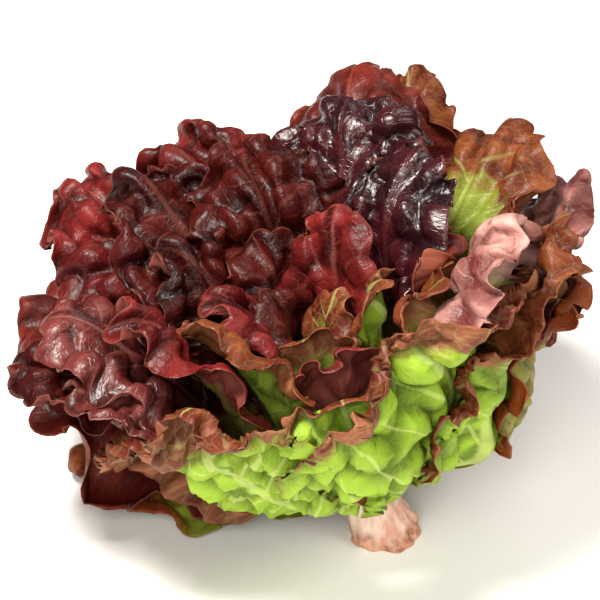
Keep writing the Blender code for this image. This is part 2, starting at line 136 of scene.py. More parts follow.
# The folds: their length along the margin, how far their flanks lean over, and how they vary.
FOLD_LENGTH = 22.0
FOLD_GROWTH = 0.18
FOLD_ROUNDNESS = 0.3
FOLD_WANDER = 2.2
FOLD_WANDER_SCALE = 1.2
FOLD_EVEN = 0.85
FOLD_CHANGE = 0.3
FOLD_CHANGE_SCALE = 0.8

# The blade's own unevenness, and how much flatter its tip is than its middle.
UNEVEN = 0.045
UNEVEN_SCALE = 0.7
UNEVEN_FROM = (0.1, 0.4)
TIP_OPENING = 0.35
TIP_OPENING_FROM = 0.55

# Smooth noise: how many waves it sums, how they spread in pitch, and what brings them near 1.
NOISE_WAVES = 5
NOISE_PITCHES = (0.7, 1.4)
NOISE_SUM = 2.6

# Bending clear: the gap between a leaf and those inside it, where the bend starts from its root,
# how far outside points are looked from, and how it steps.
CLEARANCE = 0.9
SPARE = 0.1
ROOT_SHARE = 0.12
FREE_SHARE = 0.15
REACH_OUT = 90.0
MOST_BENDS = 30
LEAST_BENDS = 3
BEND_STEP = 0.8
CROSSING_STEP = 0.5
CALMING = 0.93

# The ways in which a leaf's points are bent: away from a line behind and below the stem's foot.
BEND_BEHIND = 22.0
BEND_BELOW = 10.0
STEEPEST_BEND_DEG = 80.0

# How high above the surface the lowest leaves stay, and how gently they flatten towards it.
FLOOR_GAP = 0.25
FLOOR_BLEND = 3.0

CELL_ACROSS = 1.32
CELL_ALONG = 1.85
UNDER_CELL = 1.35
MARGIN_CELLS = 0.62

# The small ruffles of the margin: length along it, height, how near to the margin they stay, how
# they vary and lean, the leaf's own waves at which they are full, and the rim's roll and lobes.
RUFFLE_LENGTH = 21.0
RUFFLE_HEIGHT = 1.5
RUFFLE_GATHER = 3
RUFFLE_WANDER = 2.6
RUFFLE_EVEN = 0.75
RUFFLE_CHANGE = 0.35
RUFFLE_LEAN = 0.2
FULL_WAVE = 7.0
FRILL_LENGTH = 8.5
FRILL_HEIGHT = 0.3
FRILL_GATHER = 8
ROLL_BACK = 8.0
ROLL_GATHER = 4
ROLL_FROM = (0.25, 0.6)
LOBE_DEPTH = 5.0
LOBE_GATHER = 5
LOBE_SHIFT = 0.6
LOBE_ROUNDNESS = 0.6

# The blisters between the veins, the side veins that leave the midrib, and the random cells that
# the blisters fill.
BLISTER_SIZE = 20.0
BULGE_SIZE = 16.0
BLISTER_HEIGHT = 4.6
BLISTER_SHARE = 0.55
BULGE_SHARE = 0.2
PUCKER_SIZE = 5.0
PUCKER_HEIGHT = 0.35
STIR = 2.5
STIR_SIZE = 14.0
OFF_RIB = (2.0, 11.0)
BLISTER_FROM = (0.10, 0.34)
VEIN_SPACING = 17.0
VEIN_SLOPE = 0.9
VEIN_WARP = 0.28
VEIN_STAGGER = 0.45
VEIN_SLANT = 0.75
VEIN_DEPTH = 1.0
VEIN_HALF_WIDTH = 1.7
MIDRIB_DEPTH = 1.3
MIDRIB_WIDENING = 1.6
MIDRIB_FADE = 0.7
MIDRIB_FROM = (0.0, 0.2)
CELL_DRAWS = 64
CELL_JITTER = (0.12, 0.88)
CELL_START = 20.0
CREASE_SHARE = 0.85

# The finer blade: its thickness in its middle and at its edge, and how its rib stands out.
FINE_THICKNESS = 0.6
EDGE_THICKNESS = 0.35
NORMAL_SOFTENING = 3
RIB_OUTSIDE = 0.85
RIB_INSIDE = 0.12
FINE_RIB_HALF_WIDTH = 1.4 * RIB_HALF_WIDTH
EDGE_ACROSS = 40
EDGE_ALONG = 70

# What the materials read: where a leaf turns red, how wide its midrib's line is, and how far apart
# the leaves' own coordinates lie.
RED_ALONG = 0.62
RED_AT_MARGIN = 0.42
RED_BEFORE = 0.13
RED_AFTER = 0.15
RIB_LINE = 0.4
RIB_LINE_FADE = 0.8
LEAF_APART = 300.0

# The finer stump: its grid, the torn flakes at its cut end, the ribs along it, and the heights over
# which its torn end fades and its green top begins.
FINE_SIDES = 120
FINE_RINGS = 60
FLAKES = 6
FLAKE_HEIGHT = 1.4
FLAKE_FADE = (4.0, 13.0)
STEM_RIBS = 14
STEM_RIB_HEIGHT = 0.35
TORN_FADE = (1.5, 11.0)
GREEN_FROM = (20.0, 34.0)

# The last bend: its grid, how far it looks, how often it is repeated, where along the leaf it
# starts, and the need that is small enough to stop at.
LAST_GRID = (33, 37)
LAST_REACH = 13.0
LAST_GAP = 1.1
LAST_BENDS = 4
LAST_STEP = 0.85
LAST_FREE = (0.06, 0.16)
LAST_FROM = 0.08
LAST_ENOUGH = 0.3

# The finest pass of that bend: how far it looks, the gap it leaves, and where it starts.
CLEAR_REACH = 7.0
CLEAR_GAP = 0.9
CLEAR_FROM = 0.10

# How softly the leaves stay inside the model's box.
BOX_BLEND = 5.0
BOX_INSIDE = 1.5

# The studio, in metres: the floor, the lights (place, size, power) and what they point at.
FLOOR_HALF = 4.0
LOOK_AT = (-0.03, 0.03, 0.07)
LIGHTS = {
    "key": ((-0.42, -0.02, 1.20), 0.42, 33.0),
    "front": ((-0.25, -1.05, 0.85), 0.60, 12.5),
    "right": ((0.80, -0.30, 0.95), 0.60, 8.0),
    "back": ((0.35, 0.95, 1.05), 0.60, 4.5),
}
LIGHT_COLOUR = (1.0, 0.955, 0.89)
ROOM_LIGHT = 0.09

# The camera: the photograph's frame, the real length that one of its pixels spans at the stump,
# and the pixel at which the centre of the cut face lies.
PICTURE = 600
PIXEL = 0.00045
STUMP_PIXEL = (383, 531)
CAMERA_RISE_DEG = 35.0
CAMERA_DISTANCE = 1.3
CAMERA_FAR = 50.0

# Colours in linear light that no leaf's paint gives, the sizes of the leaves' patterns in
# millimetres, and how rough their outer faces are.
EDGE_COLOUR = (0.24, 0.07, 0.045)
FLESH = ((0.90, 0.68, 0.56), (0.74, 0.36, 0.27))
TORN = ((0.62, 0.25, 0.11), (0.24, 0.060, 0.022))
STEM_GREEN = (0.46, 0.52, 0.24)
FLOOR_COLOUR = (0.92, 0.92, 0.92, 1.0)
PATCH_SIZE = 26.0
MOTTLE_SIZE = 5.0
NET_SIZE = 3.4
OUTER_ROUGHNESS = 0.52


@dataclass(frozen=True)
class Leaf:
    """One leaf. Angles are in degrees about the stem and lengths in millimetres."""

    name: str
    azimuth: float  # direction from the stem, 0 to the right and 90 to the back
    polar: float  # angle of the tip from the stem's axis
    reach: float  # straight distance from the origin to the tip
    width: float  # across the widest part, measured along the blade
    start: float  # angle from the stem's axis at which the leaf leaves the stump
    curl: float  # how far the tip turns outwards
    cup: float  # angle that half the width wraps round the head
    wave: float  # height of the waves at the margin
    seed: int
    roll: float = 0.0  # how far the margin flares outwards
    lopsided: float = 0.0  # how much of that flare moves to the left side, seen from outside


LEAVES = (
    Leaf("inner_leaf_01", 30, 4, 122, 40, 8, 10, 80, 2.5, 1),
    Leaf("inner_leaf_02", 150, 7, 130, 46, 15, 15, 75, 3.0, 2),
    Leaf("inner_leaf_03", 265, 8, 120, 44, 20, 15, 75, 3.0, 3),
    Leaf("inner_leaf_04", 55, 13, 154, 54, 22, 20, 70, 4.0, 4),
    Leaf("inner_leaf_05", 350, 14, 134, 50, 25, 15, 70, 4.0, 5),
    Leaf("inner_leaf_06", 185, 14, 146, 56, 28, 20, 65, 4.0, 6),
    Leaf("inner_leaf_07", 115, 17, 150, 58, 30, 25, 65, 5.0, 7),
    Leaf("inner_leaf_08", 285, 15, 118, 58, 40, 5, 65, 5.0, 8),
    Leaf("middle_leaf_01", 215, 18, 148, 68, 42, 8, 60, 7.0, 9, 3),
    Leaf("middle_leaf_02", 42, 27, 180, 72, 40, 30, 60, 5.0, 10, 3),
    Leaf("middle_leaf_03", 155, 22, 168, 72, 42, 30, 60, 7.0, 11),
    Leaf("middle_leaf_04", 15, 23, 150, 68, 45, 20, 60, 7.0, 12),
    Leaf("middle_leaf_05", 195, 28, 168, 78, 50, 20, 60, 8.0, 13),
    Leaf("middle_leaf_06", 103, 29, 192, 82, 45, 30, 55, 8.0, 14),
    Leaf("middle_leaf_07", 340, 24, 146, 70, 55, 10, 55, 7.0, 15),
    Leaf("middle_leaf_08", 74, 35, 206, 100, 48, 35, 50, 5.0, 16, 4),
    Leaf("middle_leaf_09", 132, 33, 204, 86, 50, 35, 55, 8.5, 17),
    Leaf("middle_leaf_10", 44, 46, 200, 98, 55, 25, 50, 8.0, 18),
    Leaf("middle_leaf_11", 281, 24, 112, 76, 86, 0, 50, 5.0, 39),
    Leaf("outer_leaf_01", 178, 37, 184, 94, 58, 20, 50, 9.0, 20, 4),
    Leaf("outer_leaf_02", 114, 39, 218, 98, 55, 30, 50, 9.0, 21, 4),
    Leaf("outer_leaf_03", 77, 43, 228, 92, 58, 25, 50, 4.0, 22),
    Leaf("outer_leaf_04", 352, 34, 174, 84, 60, 20, 60, 8.0, 23, 4),
    Leaf("outer_leaf_05", 198, 38, 168, 80, 60, 10, 50, 5.0, 38, 2),
    Leaf("outer_leaf_06", 184, 43, 190, 84, 62, 15, 50, 6.0, 29, 2),
    Leaf("outer_leaf_07", 232, 33, 148, 134, 84, 0, 40, 8.0, 24, 12, 1),
    Leaf("outer_leaf_08", 324, 30, 150, 142, 60, 12, 58, 8.0, 19, 6),
    Leaf("outer_leaf_09", 8, 43, 172, 84, 62, 15, 60, 7.0, 25, 4),
    Leaf("outer_leaf_10", 30, 52, 188, 88, 62, 15, 50, 7.0, 26),
    Leaf("outer_leaf_11", 134, 43, 224, 100, 62, 30, 50, 9.0, 27, 4),
    Leaf("outer_leaf_12", 155, 47, 200, 98, 68, 20, 50, 9.0, 28, 4),
    Leaf("outer_leaf_13", 69, 47, 228, 60, 64, 10, 45, 4.0, 30),
    Leaf("outer_leaf_14", 338, 38, 130, 76, 75, 5, 50, 6.0, 31, 2),
    Leaf("outer_leaf_15", 12, 50, 154, 76, 72, 10, 55, 6.0, 32, 2),
    Leaf("outer_leaf_16", 95, 57, 200, 94, 70, 20, 45, 8.0, 33),
    Leaf("outer_leaf_17", 122, 62, 190, 94, 75, 15, 45, 8.0, 34),
    Leaf("outer_leaf_18", 162, 66, 152, 66, 80, 5, 40, 3.0, 35),
    Leaf("outer_leaf_19", 60, 68, 176, 92, 82, 10, 40, 8.0, 36),
    Leaf("outer_leaf_20", 98, 74, 150, 84, 85, 5, 30, 6.0, 37),
)


# Leaves that lie under the others, of which little is seen.
UNDER = ("outer_leaf_12", "outer_leaf_16", "outer_leaf_17", "outer_leaf_19", "outer_leaf_20")


@dataclass(frozen=True)
class Paint:
    """The colours of one kind of leaf, in linear light, how rough its inner face is, and how
    strongly both faces reflect."""

    # inner_dark and inner_light, and the bloom below, also carry painted shade: the blisters are painted
    # darker in their creases and lighter on their domes.
    inner_dark: tuple
    inner_light: tuple
    inner_base: tuple
    outer_tip: tuple
    outer_base: tuple
    vein: tuple
    bloom: tuple  # the palest patches of the outer face where it is red
    gloss: float = 0.40
    shine: float = 0.30


PAINTS = {
    "burgundy": Paint(
        (0.008, 0.0007, 0.0008), (0.050, 0.004, 0.003), (0.09, 0.09, 0.014),
        (0.11, 0.016, 0.010), (0.22, 0.27, 0.04), (0.14, 0.035, 0.022), (0.16, 0.040, 0.030), 0.32, 0.20,
    ),
    "purple": Paint(
        (0.008, 0.0010, 0.002), (0.040, 0.004, 0.006), (0.07, 0.06, 0.012),
        (0.08, 0.013, 0.012), (0.18, 0.21, 0.04), (0.09, 0.02, 0.022), (0.14, 0.045, 0.045), 0.25, 0.52,
    ),
    "crimson": Paint(
        (0.022, 0.0013, 0.0014), (0.165, 0.013, 0.012), (0.12, 0.12, 0.02),
        (0.15, 0.022, 0.015), (0.25, 0.27, 0.05), (0.22, 0.05, 0.035), (0.24, 0.060, 0.050), 0.33, 0.22,
    ),
    "mauve": Paint(
        (0.020, 0.002, 0.002), (0.125, 0.020, 0.018), (0.15, 0.13, 0.03),
        (0.20, 0.050, 0.040), (0.28, 0.28, 0.06), (0.26, 0.10, 0.08), (0.46, 0.23, 0.20), 0.31, 0.42,
    ),
    "dusty": Paint(
        (0.055, 0.008, 0.007), (0.330, 0.130, 0.110), (0.22, 0.22, 0.05),
        (0.24, 0.070, 0.055), (0.31, 0.32, 0.08), (0.36, 0.17, 0.13), (0.50, 0.27, 0.23), 0.38, 0.36,
    ),
    "pink": Paint(
        (0.100, 0.016, 0.014), (0.560, 0.290, 0.250), (0.28, 0.30, 0.07),
        (0.28, 0.090, 0.070), (0.34, 0.36, 0.10), (0.50, 0.28, 0.22), (0.60, 0.34, 0.30), 0.40, 0.36,
    ),
    "redbrown": Paint(
        (0.036, 0.0030, 0.0025), (0.135, 0.015, 0.009), (0.17, 0.14, 0.022),
        (0.15, 0.024, 0.012), (0.25, 0.25, 0.04), (0.22, 0.055, 0.026), (0.22, 0.055, 0.030), 0.34, 0.24,
    ),
    "amber": Paint(
        (0.090, 0.012, 0.004), (0.220, 0.050, 0.010), (0.22, 0.28, 0.03),
        (0.18, 0.040, 0.013), (0.26, 0.25, 0.04), (0.28, 0.10, 0.03), (0.28, 0.100, 0.040), 0.36, 0.26,
    ),
    "olive": Paint(
        (0.060, 0.007, 0.004), (0.155, 0.038, 0.011), (0.16, 0.20, 0.022),
        (0.16, 0.036, 0.015), (0.27, 0.37, 0.04), (0.34, 0.36, 0.09), (0.24, 0.080, 0.034), 0.36, 0.22,
    ),
    "green": Paint(
        (0.070, 0.008, 0.005), (0.160, 0.036, 0.013), (0.20, 0.30, 0.03),
        (0.16, 0.040, 0.018), (0.30, 0.47, 0.030), (0.50, 0.58, 0.18), (0.28, 0.095, 0.046), 0.38, 0.24,
    ),
}


@dataclass(frozen=True)
class Dress:
    """How one leaf looks: its paint, where each face turns red, how blistered it is (below zero
    where the blisters swell outwards), and how much sooner its left half turns red."""

    paint: str = "burgundy"
    inner_red: float = 0.22
    outer_red: float = 0.52
    blisters: float = 1.0
    left_red: float = 0.0


DRESSES = {
    "inner_leaf_01": Dress("green", 0.62, 0.72, 0.7),
    "inner_leaf_02": Dress("burgundy", 0.35, 0.40, 0.8),
    "inner_leaf_03": Dress("olive", 0.55, 0.62, 0.8),
    "inner_leaf_04": Dress("crimson", 0.30, 0.45, 0.8),
    "inner_leaf_05": Dress("green", 0.60, 0.75, 0.8),
    "inner_leaf_06": Dress("crimson", 0.40, 0.45, 0.9),
    "inner_leaf_07": Dress("burgundy", 0.30, 0.50, 0.9),
    "inner_leaf_08": Dress("crimson", 0.30, 0.35, 0.6),
    "middle_leaf_01": Dress("olive", 0.50, 0.58, 0.8),
    "middle_leaf_02": Dress("purple", 0.25, 0.50, 1.3),
    "middle_leaf_03": Dress("burgundy", 0.25, 0.45, 1.1),
    "middle_leaf_04": Dress("redbrown", 0.40, 0.60, 0.9),
    "middle_leaf_05": Dress("crimson", 0.35, 0.48, 1.0),
    "middle_leaf_06": Dress("burgundy", 0.25, 0.50, 1.2),
    "middle_leaf_07": Dress("olive", 0.50, 0.66, 0.9),
    "middle_leaf_08": Dress("purple", 0.20, 0.45, 1.5),
    "middle_leaf_09": Dress("burgundy", 0.25, 0.50, 1.2),
    "middle_leaf_10": Dress("olive", 0.62, 0.58, 0.6),
    "middle_leaf_11": Dress("green", 0.78, 0.88, -1.4),
    "outer_leaf_01": Dress("mauve", 0.25, 0.50, 1.1),
    "outer_leaf_02": Dress("crimson", 0.20, 0.50, 1.3),
    "outer_leaf_03": Dress("redbrown", 0.15, 0.40, 0.5),
    "outer_leaf_04": Dress("pink", 0.42, 0.55, 1.5),
    "outer_leaf_05": Dress("mauve", 0.20, 0.50, 1.0),
    "outer_leaf_06": Dress("burgundy", 0.20, 0.50, 1.1),
    "outer_leaf_07": Dress("green", 0.46, 0.66, -2.2, 0.34),
    "outer_leaf_08": Dress("green", 0.45, 0.80, -2.2),
    "outer_leaf_09": Dress("olive", 0.30, 0.50, 0.9),
    "outer_leaf_10": Dress("dusty", 0.30, 0.50, 0.7),
    "outer_leaf_11": Dress("crimson", 0.20, 0.50, 1.3),
    "outer_leaf_12": Dress("redbrown", 0.20, 0.50, 0.8),
    "outer_leaf_13": Dress("olive", 0.50, 0.50, 0.6),
    "outer_leaf_14": Dress("green", 0.50, 0.84, -1.8),
    "outer_leaf_15": Dress("amber", 0.45, 0.72, -1.0),
    "outer_leaf_18": Dress("amber", 0.26, 0.45, 0.6, 0.45),
    "outer_leaf_19": Dress("redbrown", 0.25, 0.50, 0.8),
}


def dress_of(leaf):
    return DRESSES.get(leaf.name, Dress())


# Columns and rows of the solids, by where in the head the leaf stands.
GRIDS = {"inner": (7, 8), "middle": (9, 10), "outer": (11, 12)}


def smoothstep(low, high, value):
    share = np.clip((value - low) / (high - low), 0.0, 1.0)
    return share * share * (3.0 - 2.0 * share)


def plant_to_world():
    """The plant's frame, tilted by the least turn that takes +Z to the leaning stem."""
    toward = math.radians(LEAN_TOWARDS_DEG)
    axis = Vector((-math.sin(toward), math.cos(toward), 0.0))
    return Matrix.Rotation(math.radians(LEAN_DEG), 3, axis)


TO_WORLD = np.array(plant_to_world())


def stump_radius(height):
    """Radius of the stump at a height along its stem: a foot, a neck and a domed crown."""
    widening = 1.0 - smoothstep(STUMP_BELOW, STUMP_FOOT_TOP, height)
    neck = STUMP_NECK_RADIUS + (STUMP_FOOT_RADIUS - STUMP_NECK_RADIUS) * widening
    dome = np.clip((height - STUMP_SHOULDER) / (STUMP_TOP - STUMP_SHOULDER), 0.0, 1.0)
    return neck * np.sqrt(np.clip(1.0 - dome**2, 0.0, 1.0))


def apart(a, b):
    """The angle between two directions, in degrees."""
    return abs((a - b + 180.0) % 360.0 - 180.0)


def root_heights():
    """How high on the stump each leaf is rooted: below every leaf inside it that it would meet."""
    heights = {}
    for leaf in LEAVES:
        height = ROOT_HIGHEST
        for other in LEAVES[: LEAVES.index(leaf)]:
            crown = smoothstep(STUMP_SHOULDER, STUMP_TOP, heights[other.name])
            spread = ROOT_SPREAD_DEG * (1.0 + CROWN_SPREAD * crown)
            if apart(leaf.azimuth, other.azimuth) < spread:
                height = min(height, heights[other.name] - ROOT_PITCH)
        heights[leaf.name] = height
    return heights


ROOT_HEIGHTS = root_heights()


def midrib_of(leaf):
    """The midrib's points in its own plane, as (out, up), and their distances along it."""
    polar = math.radians(leaf.polar)
    start = math.radians(leaf.start)
    end = math.radians(leaf.polar + leaf.curl)
    height = ROOT_HEIGHTS[leaf.name]
    clear = stump_radius(height) + ROOT_GAP + 0.5 * RIB_THICKNESS * math.cos(start)
    root = np.array([clear, height])
    tip = leaf.reach * np.array([math.sin(polar), math.cos(polar)])
    handle = MIDRIB_HANDLE * np.linalg.norm(tip - root)
    first = root + handle * np.array([math.sin(start), math.cos(start)])
    last = tip - handle * np.array([math.sin(end), math.cos(end)])
    t = np.linspace(0.0, 1.0, MIDRIB_SAMPLES)[:, None]
    points = (1 - t) ** 3 * root + 3 * t * (1 - t) ** 2 * first
    points = points + 3 * t**2 * (1 - t) * last + t**3 * tip
    along = np.concatenate([[0.0], np.cumsum(np.linalg.norm(np.diff(points, axis=0), axis=1))])
    return points, along


def size_of(leaf):
    """How thick the leaf's petiole and midrib are, as a share of those of a wide leaf."""
    return LEAST_SIZE + (1.0 - LEAST_SIZE) * leaf.width / WIDE_LEAF


def outline(leaf, v):
    """Half width of the flat leaf at v, 0 at its root and 1 at its tip."""
    petiole = 0.5 * PETIOLE_WIDTH * size_of(leaf)
    opening = np.clip((v - BLADE_FROM) / BLADE_SPREAD, 0.0, 1.0)
    blade = np.sin(0.5 * math.pi * opening) ** BLADE_FULLNESS
    tip = smoothstep(TIP_FROM, TIP_PAST, v) ** TIP_BLUNTNESS
    return petiole + (0.5 * leaf.width - petiole) * blade * (1.0 - TIP_NARROWING * tip)


def noise(leaf, x, y, scale, salt):
    """Smooth noise of about -1 to 1 over the leaf, the same each time."""
    draw = np.random.default_rng(1000 * leaf.seed + salt)
    total = np.zeros_like(x)
    for _ in range(NOISE_WAVES):
        angle = draw.uniform(0.0, 2.0 * math.pi)
        pitch = draw.uniform(*NOISE_PITCHES) * 2.0 * math.pi / scale
        shift = draw.uniform(0.0, 2.0 * math.pi)
        total += np.sin(pitch * (x * math.cos(angle) + y * math.sin(angle)) + shift)
    return total / NOISE_SUM


def flat(leaf, u, v):
    """The flat leaf: x across, y along, nearness to the margin and direction round it."""
    length = midrib_of(leaf)[1][-1]
    x = outline(leaf, v) * u
    y = length * (v - ROW_BEND * smoothstep(0.2, 1.0, v) * u * u)
    inside = (1.0 - np.abs(u) ** MARGIN_ACROSS) * (1.0 - v**MARGIN_ALONG)
    margin = (1.0 - inside) * smoothstep(*MARGIN_FROM, v)
    fan = np.arctan2(x / (0.5 * leaf.width), 2.0 * y / length - 1.0)
    return x, y, margin, fan


def ruffles(leaf, x, y, margin, fan):
    """The smaller waves of the margin: their lift, how far their flanks lean, and its lobes."""
    length = midrib_of(leaf)[1][-1]
    round_margin = math.pi * (0.5 * leaf.width + 0.5 * length)
    wander = RUFFLE_WANDER * noise(leaf, x, y, 0.5 * leaf.width, 4)
    phase = round_margin / RUFFLE_LENGTH * fan + wander + 2.0 * leaf.seed
    frill = round_margin / FRILL_LENGTH * fan + 2.0 * wander
    change = RUFFLE_CHANGE * noise(leaf, x, y, 0.4 * leaf.width, 5)
    size = min(1.0, leaf.wave / FULL_WAVE) * (RUFFLE_EVEN + change)
    lift = size * RUFFLE_HEIGHT * margin**RUFFLE_GATHER * np.sin(phase)
    lift += size * FRILL_HEIGHT * margin**FRILL_GATHER * np.sin(frill)
    lift += ROLL_BACK * margin**ROLL_GATHER * smoothstep(*ROLL_FROM, y / length)
    lean = RUFFLE_LEAN * size * RUFFLE_HEIGHT * margin**RUFFLE_GATHER * np.sin(2.0 * phase)
    notch = np.abs(np.sin(0.5 * phase + LOBE_SHIFT)) ** LOBE_ROUNDNESS - 1.0
    lobes = LOBE_DEPTH * margin**LOBE_GATHER * notch
    return lift, lean, lobes


def sheet(leaf, calm, u, v, finer=False):
    """The leaf's mid-surface before it is bent clear, and the ways in which it is bent."""
    midrib, along = midrib_of(leaf)
    length = along[-1]
    half = 0.5 * leaf.width
    x, y, margin, fan = flat(leaf, u, v)

    folds = math.pi * (half + 0.5 * length) / (FOLD_LENGTH + FOLD_GROWTH * leaf.width)
    phase = folds * fan + FOLD_WANDER * noise(leaf, x, y, FOLD_WANDER_SCALE * leaf.width, 1) + leaf.seed
    change = FOLD_CHANGE * noise(leaf, x, y, FOLD_CHANGE_SCALE * leaf.width, 2)
    strength = leaf.wave * margin**MARGIN_GATHER * (FOLD_EVEN + change) * interpolate(calm, u, v)
    lift = strength * np.sin(phase) + leaf.roll * (1.0 - leaf.lopsided * u) * margin**MARGIN_FLARE
    uneven = UNEVEN * leaf.width * smoothstep(*UNEVEN_FROM, v)
    lift += uneven * noise(leaf, x, y, UNEVEN_SCALE * leaf.width, 3)
    slide = FOLD_ROUNDNESS * strength * np.sin(2.0 * phase)
    lobes = 0.0
    if finer:
        more_lift, more_slide, lobes = ruffles(leaf, x, y, margin, fan)
        lift += more_lift
        slide += more_slide
    x, y = x - slide * np.cos(fan) + lobes * np.sin(fan), y + slide * np.sin(fan) + lobes * np.cos(fan)
    y = np.clip(y, 0.0, None)

    past = np.clip(y - length, 0.0, None)
    slope = np.gradient(midrib, along, axis=0)
    slope /= np.linalg.norm(slope, axis=1)[:, None]
    out, up = (np.interp(y, along, midrib[:, k]) for k in (0, 1))
    t_out, t_up = (np.interp(y, along, slope[:, k])[..., None] for k in (0, 1))

    azimuth = math.radians(leaf.azimuth)
    away = np.array([math.cos(azimuth), math.sin(azimuth), 0.0])
    side = np.array([-math.sin(azimuth), math.cos(azimuth), 0.0])
    stem = np.array([0.0, 0.0, 1.0])
    tangent = t_out * away + t_up * stem
    outward = t_up * away - t_out * stem

    wrap = math.radians(leaf.cup) / half * (1.0 - TIP_OPENING * smoothstep(TIP_OPENING_FROM, 1.0, v))
    angle = (wrap * x)[..., None]
    radius = (1.0 / wrap)[..., None]
    centre = out[..., None] * away + up[..., None] * stem + past[..., None] * tangent
    ring = side * radius * np.sin(angle) - outward * radius * (1.0 - np.cos(angle))
    normal = outward * np.cos(angle) + side * np.sin(angle)
    points = centre + ring + normal * lift[..., None]

    radial = points[..., :2] + BEND_BEHIND * away[:2]
    radial = radial / np.linalg.norm(radial, axis=-1)[..., None]
    polar = np.arctan2(np.linalg.norm(points[..., :2], axis=-1), points[..., 2] + BEND_BELOW)
    down = 0.5 * polar + 0.5 * np.arctan2(t_out, t_up)[..., 0]
    down = np.clip(down, 0.0, math.radians(STEEPEST_BEND_DEG))
    ways = np.concatenate([radial * np.cos(down)[..., None], -np.sin(down)[..., None]], axis=-1)
    return points, ways


def interpolate(lattice, u, v):
    """A smooth reading of a lattice of values over the leaf, by cubic B-splines."""

    def weights(share, count):
        place = share * (count - 1)
        cell = np.clip(np.floor(place).astype(int), 0, count - 2)
        t = place - cell
        basis = (
            (1 - t) ** 3 / 6,
            (3 * t**3 - 6 * t**2 + 4) / 6,
            (-3 * t**3 + 3 * t**2 + 3 * t + 1) / 6,
            t**3 / 6,
        )
        return [(np.clip(cell + k - 1, 0, count - 1), basis[k]) for k in range(4)]

    total = np.zeros_like(u)
    for i, wi in weights((u + 1.0) / 2.0, lattice.shape[0]):
        for j, wj in weights(v, lattice.shape[1]):
            total += wi * wj * lattice[i, j]
    return total


def above_floor(points, gap):
    """The same points, lifted smoothly where they would come nearer to the surface than gap."""
    over = points @ TO_WORLD[2] - gap
    bent = 0.5 * (over + np.sqrt(over**2 + FLOOR_BLEND**2)) - 0.5 * FLOOR_BLEND
    free = smoothstep(2.0 * FLOOR_BLEND, 4.0 * FLOOR_BLEND, over)
    lifted = free * over + (1.0 - free) * np.maximum(bent, 0.0)
    return points + (lifted - over)[..., None] * TO_WORLD[2]


def shape(leaf, bend, u, v):
    """The leaf's mid-surface in the plant's frame, once it has been bent clear."""
    push, calm = bend
    points, ways = sheet(leaf, calm, u, v)
    points = points + ways * interpolate(push, u, v)[..., None]
    return above_floor(points, FLOOR_GAP + 0.5 * thickness(leaf, u, v))


def halves_of(across, along):
    """The two triangles of each cell of a grid, as indices of its points, in an alternating way."""
    triangles = []
    for i in range(across - 1):
        for j in range(along - 1):
            a, b = i * along + j, (i + 1) * along + j
            c, d = b + 1, a + 1
            triangles += [(a, b, c), (a, c, d)] if (i + j) % 2 else [(a, b, d), (b, c, d)]
    return triangles


def normals_of(points):
    """Unit normals of a grid of points, towards the leaf's outer face, from its triangles."""
    flat = points.reshape(-1, 3)
    triangles = np.array(halves_of(*points.shape[:2]))
    a, b, c = (flat[triangles[:, k]] for k in range(3))
    face = np.cross(b - a, c - a)
    face = face / np.linalg.norm(face, axis=1)[:, None]
    normal = np.zeros_like(flat)
    for k in range(3):
        np.add.at(normal, triangles[:, k], face)
    normal = normal / np.linalg.norm(normal, axis=1)[:, None]
    return normal.reshape(points.shape)


def thickness(leaf, u, v):
    """Full thickness, with the midrib thick at the root and fading out along the leaf."""
    x = np.abs(outline(leaf, v) * u)
    rib = np.clip(1.0 - x / RIB_HALF_WIDTH, 0.0, 1.0) * (1.0 - v) ** RIB_FADE
    return BLADE_THICKNESS + size_of(leaf) * (RIB_THICKNESS - BLADE_THICKNESS) * rib


def leaf_grid(leaf):
    """How many columns and rows the leaf's solid has."""
    return GRIDS[leaf.name.split("_")[0]]


def solid_grid(leaf):
    across, along = leaf_grid(leaf)
    return np.meshgrid(np.linspace(-1.0, 1.0, across), np.linspace(0.0, 1.0, along), indexing="ij")


def solid_of(leaf, bend):
    """Vertices and triangles of the leaf as a closed blade, in the plant's frame."""
    across, along = leaf_grid(leaf)
    u, v = solid_grid(leaf)
    middle = shape(leaf, bend, u, v)
    normal = normals_of(middle)
    half = 0.5 * thickness(leaf, u, v)[..., None]
    outer = (middle + normal * half).reshape(-1, 3)
    inner = (middle - normal * half).reshape(-1, 3)
    count = across * along

    def index(i, j):
        return i * along + j

    faces = []
    for p, q, r in halves_of(across, along):
        faces.append((p, q, r))
        faces.append((r + count, q + count, p + count))
    rim = [index(i, 0) for i in range(across)]
    rim += [index(across - 1, j) for j in range(1, along)]
    rim += [index(i, along - 1) for i in range(across - 2, -1, -1)]
    rim += [index(0, j) for j in range(along - 2, 0, -1)]
    for p, q in zip(rim, rim[1:] + rim[:1]):
        faces.append((p, p + count, q + count))
        faces.append((p, q + count, q))
    return np.concatenate([outer, inner]), faces


def tree_of(solids):
    """One search tree of several solids."""
    points, faces = [], []
    for solid_points, solid_faces in solids:
        first = len(points)
        points += [tuple(p) for p in solid_points]
        faces += [tuple(first + k for k in face) for face in solid_faces]
    return BVHTree.FromPolygons(points, faces)


def between(grid):
    """A grid of points with one more point halfway between each pair of neighbours."""
    wide = np.empty((2 * grid.shape[0] - 1, grid.shape[1]) + grid.shape[2:])
    wide[::2] = grid
    wide[1::2] = 0.5 * (grid[1:] + grid[:-1])
    full = np.empty((wide.shape[0], 2 * grid.shape[1] - 1) + grid.shape[2:])
    full[:, ::2] = wide
    full[:, 1::2] = 0.5 * (wide[:, 1:] + wide[:, :-1])
    return full


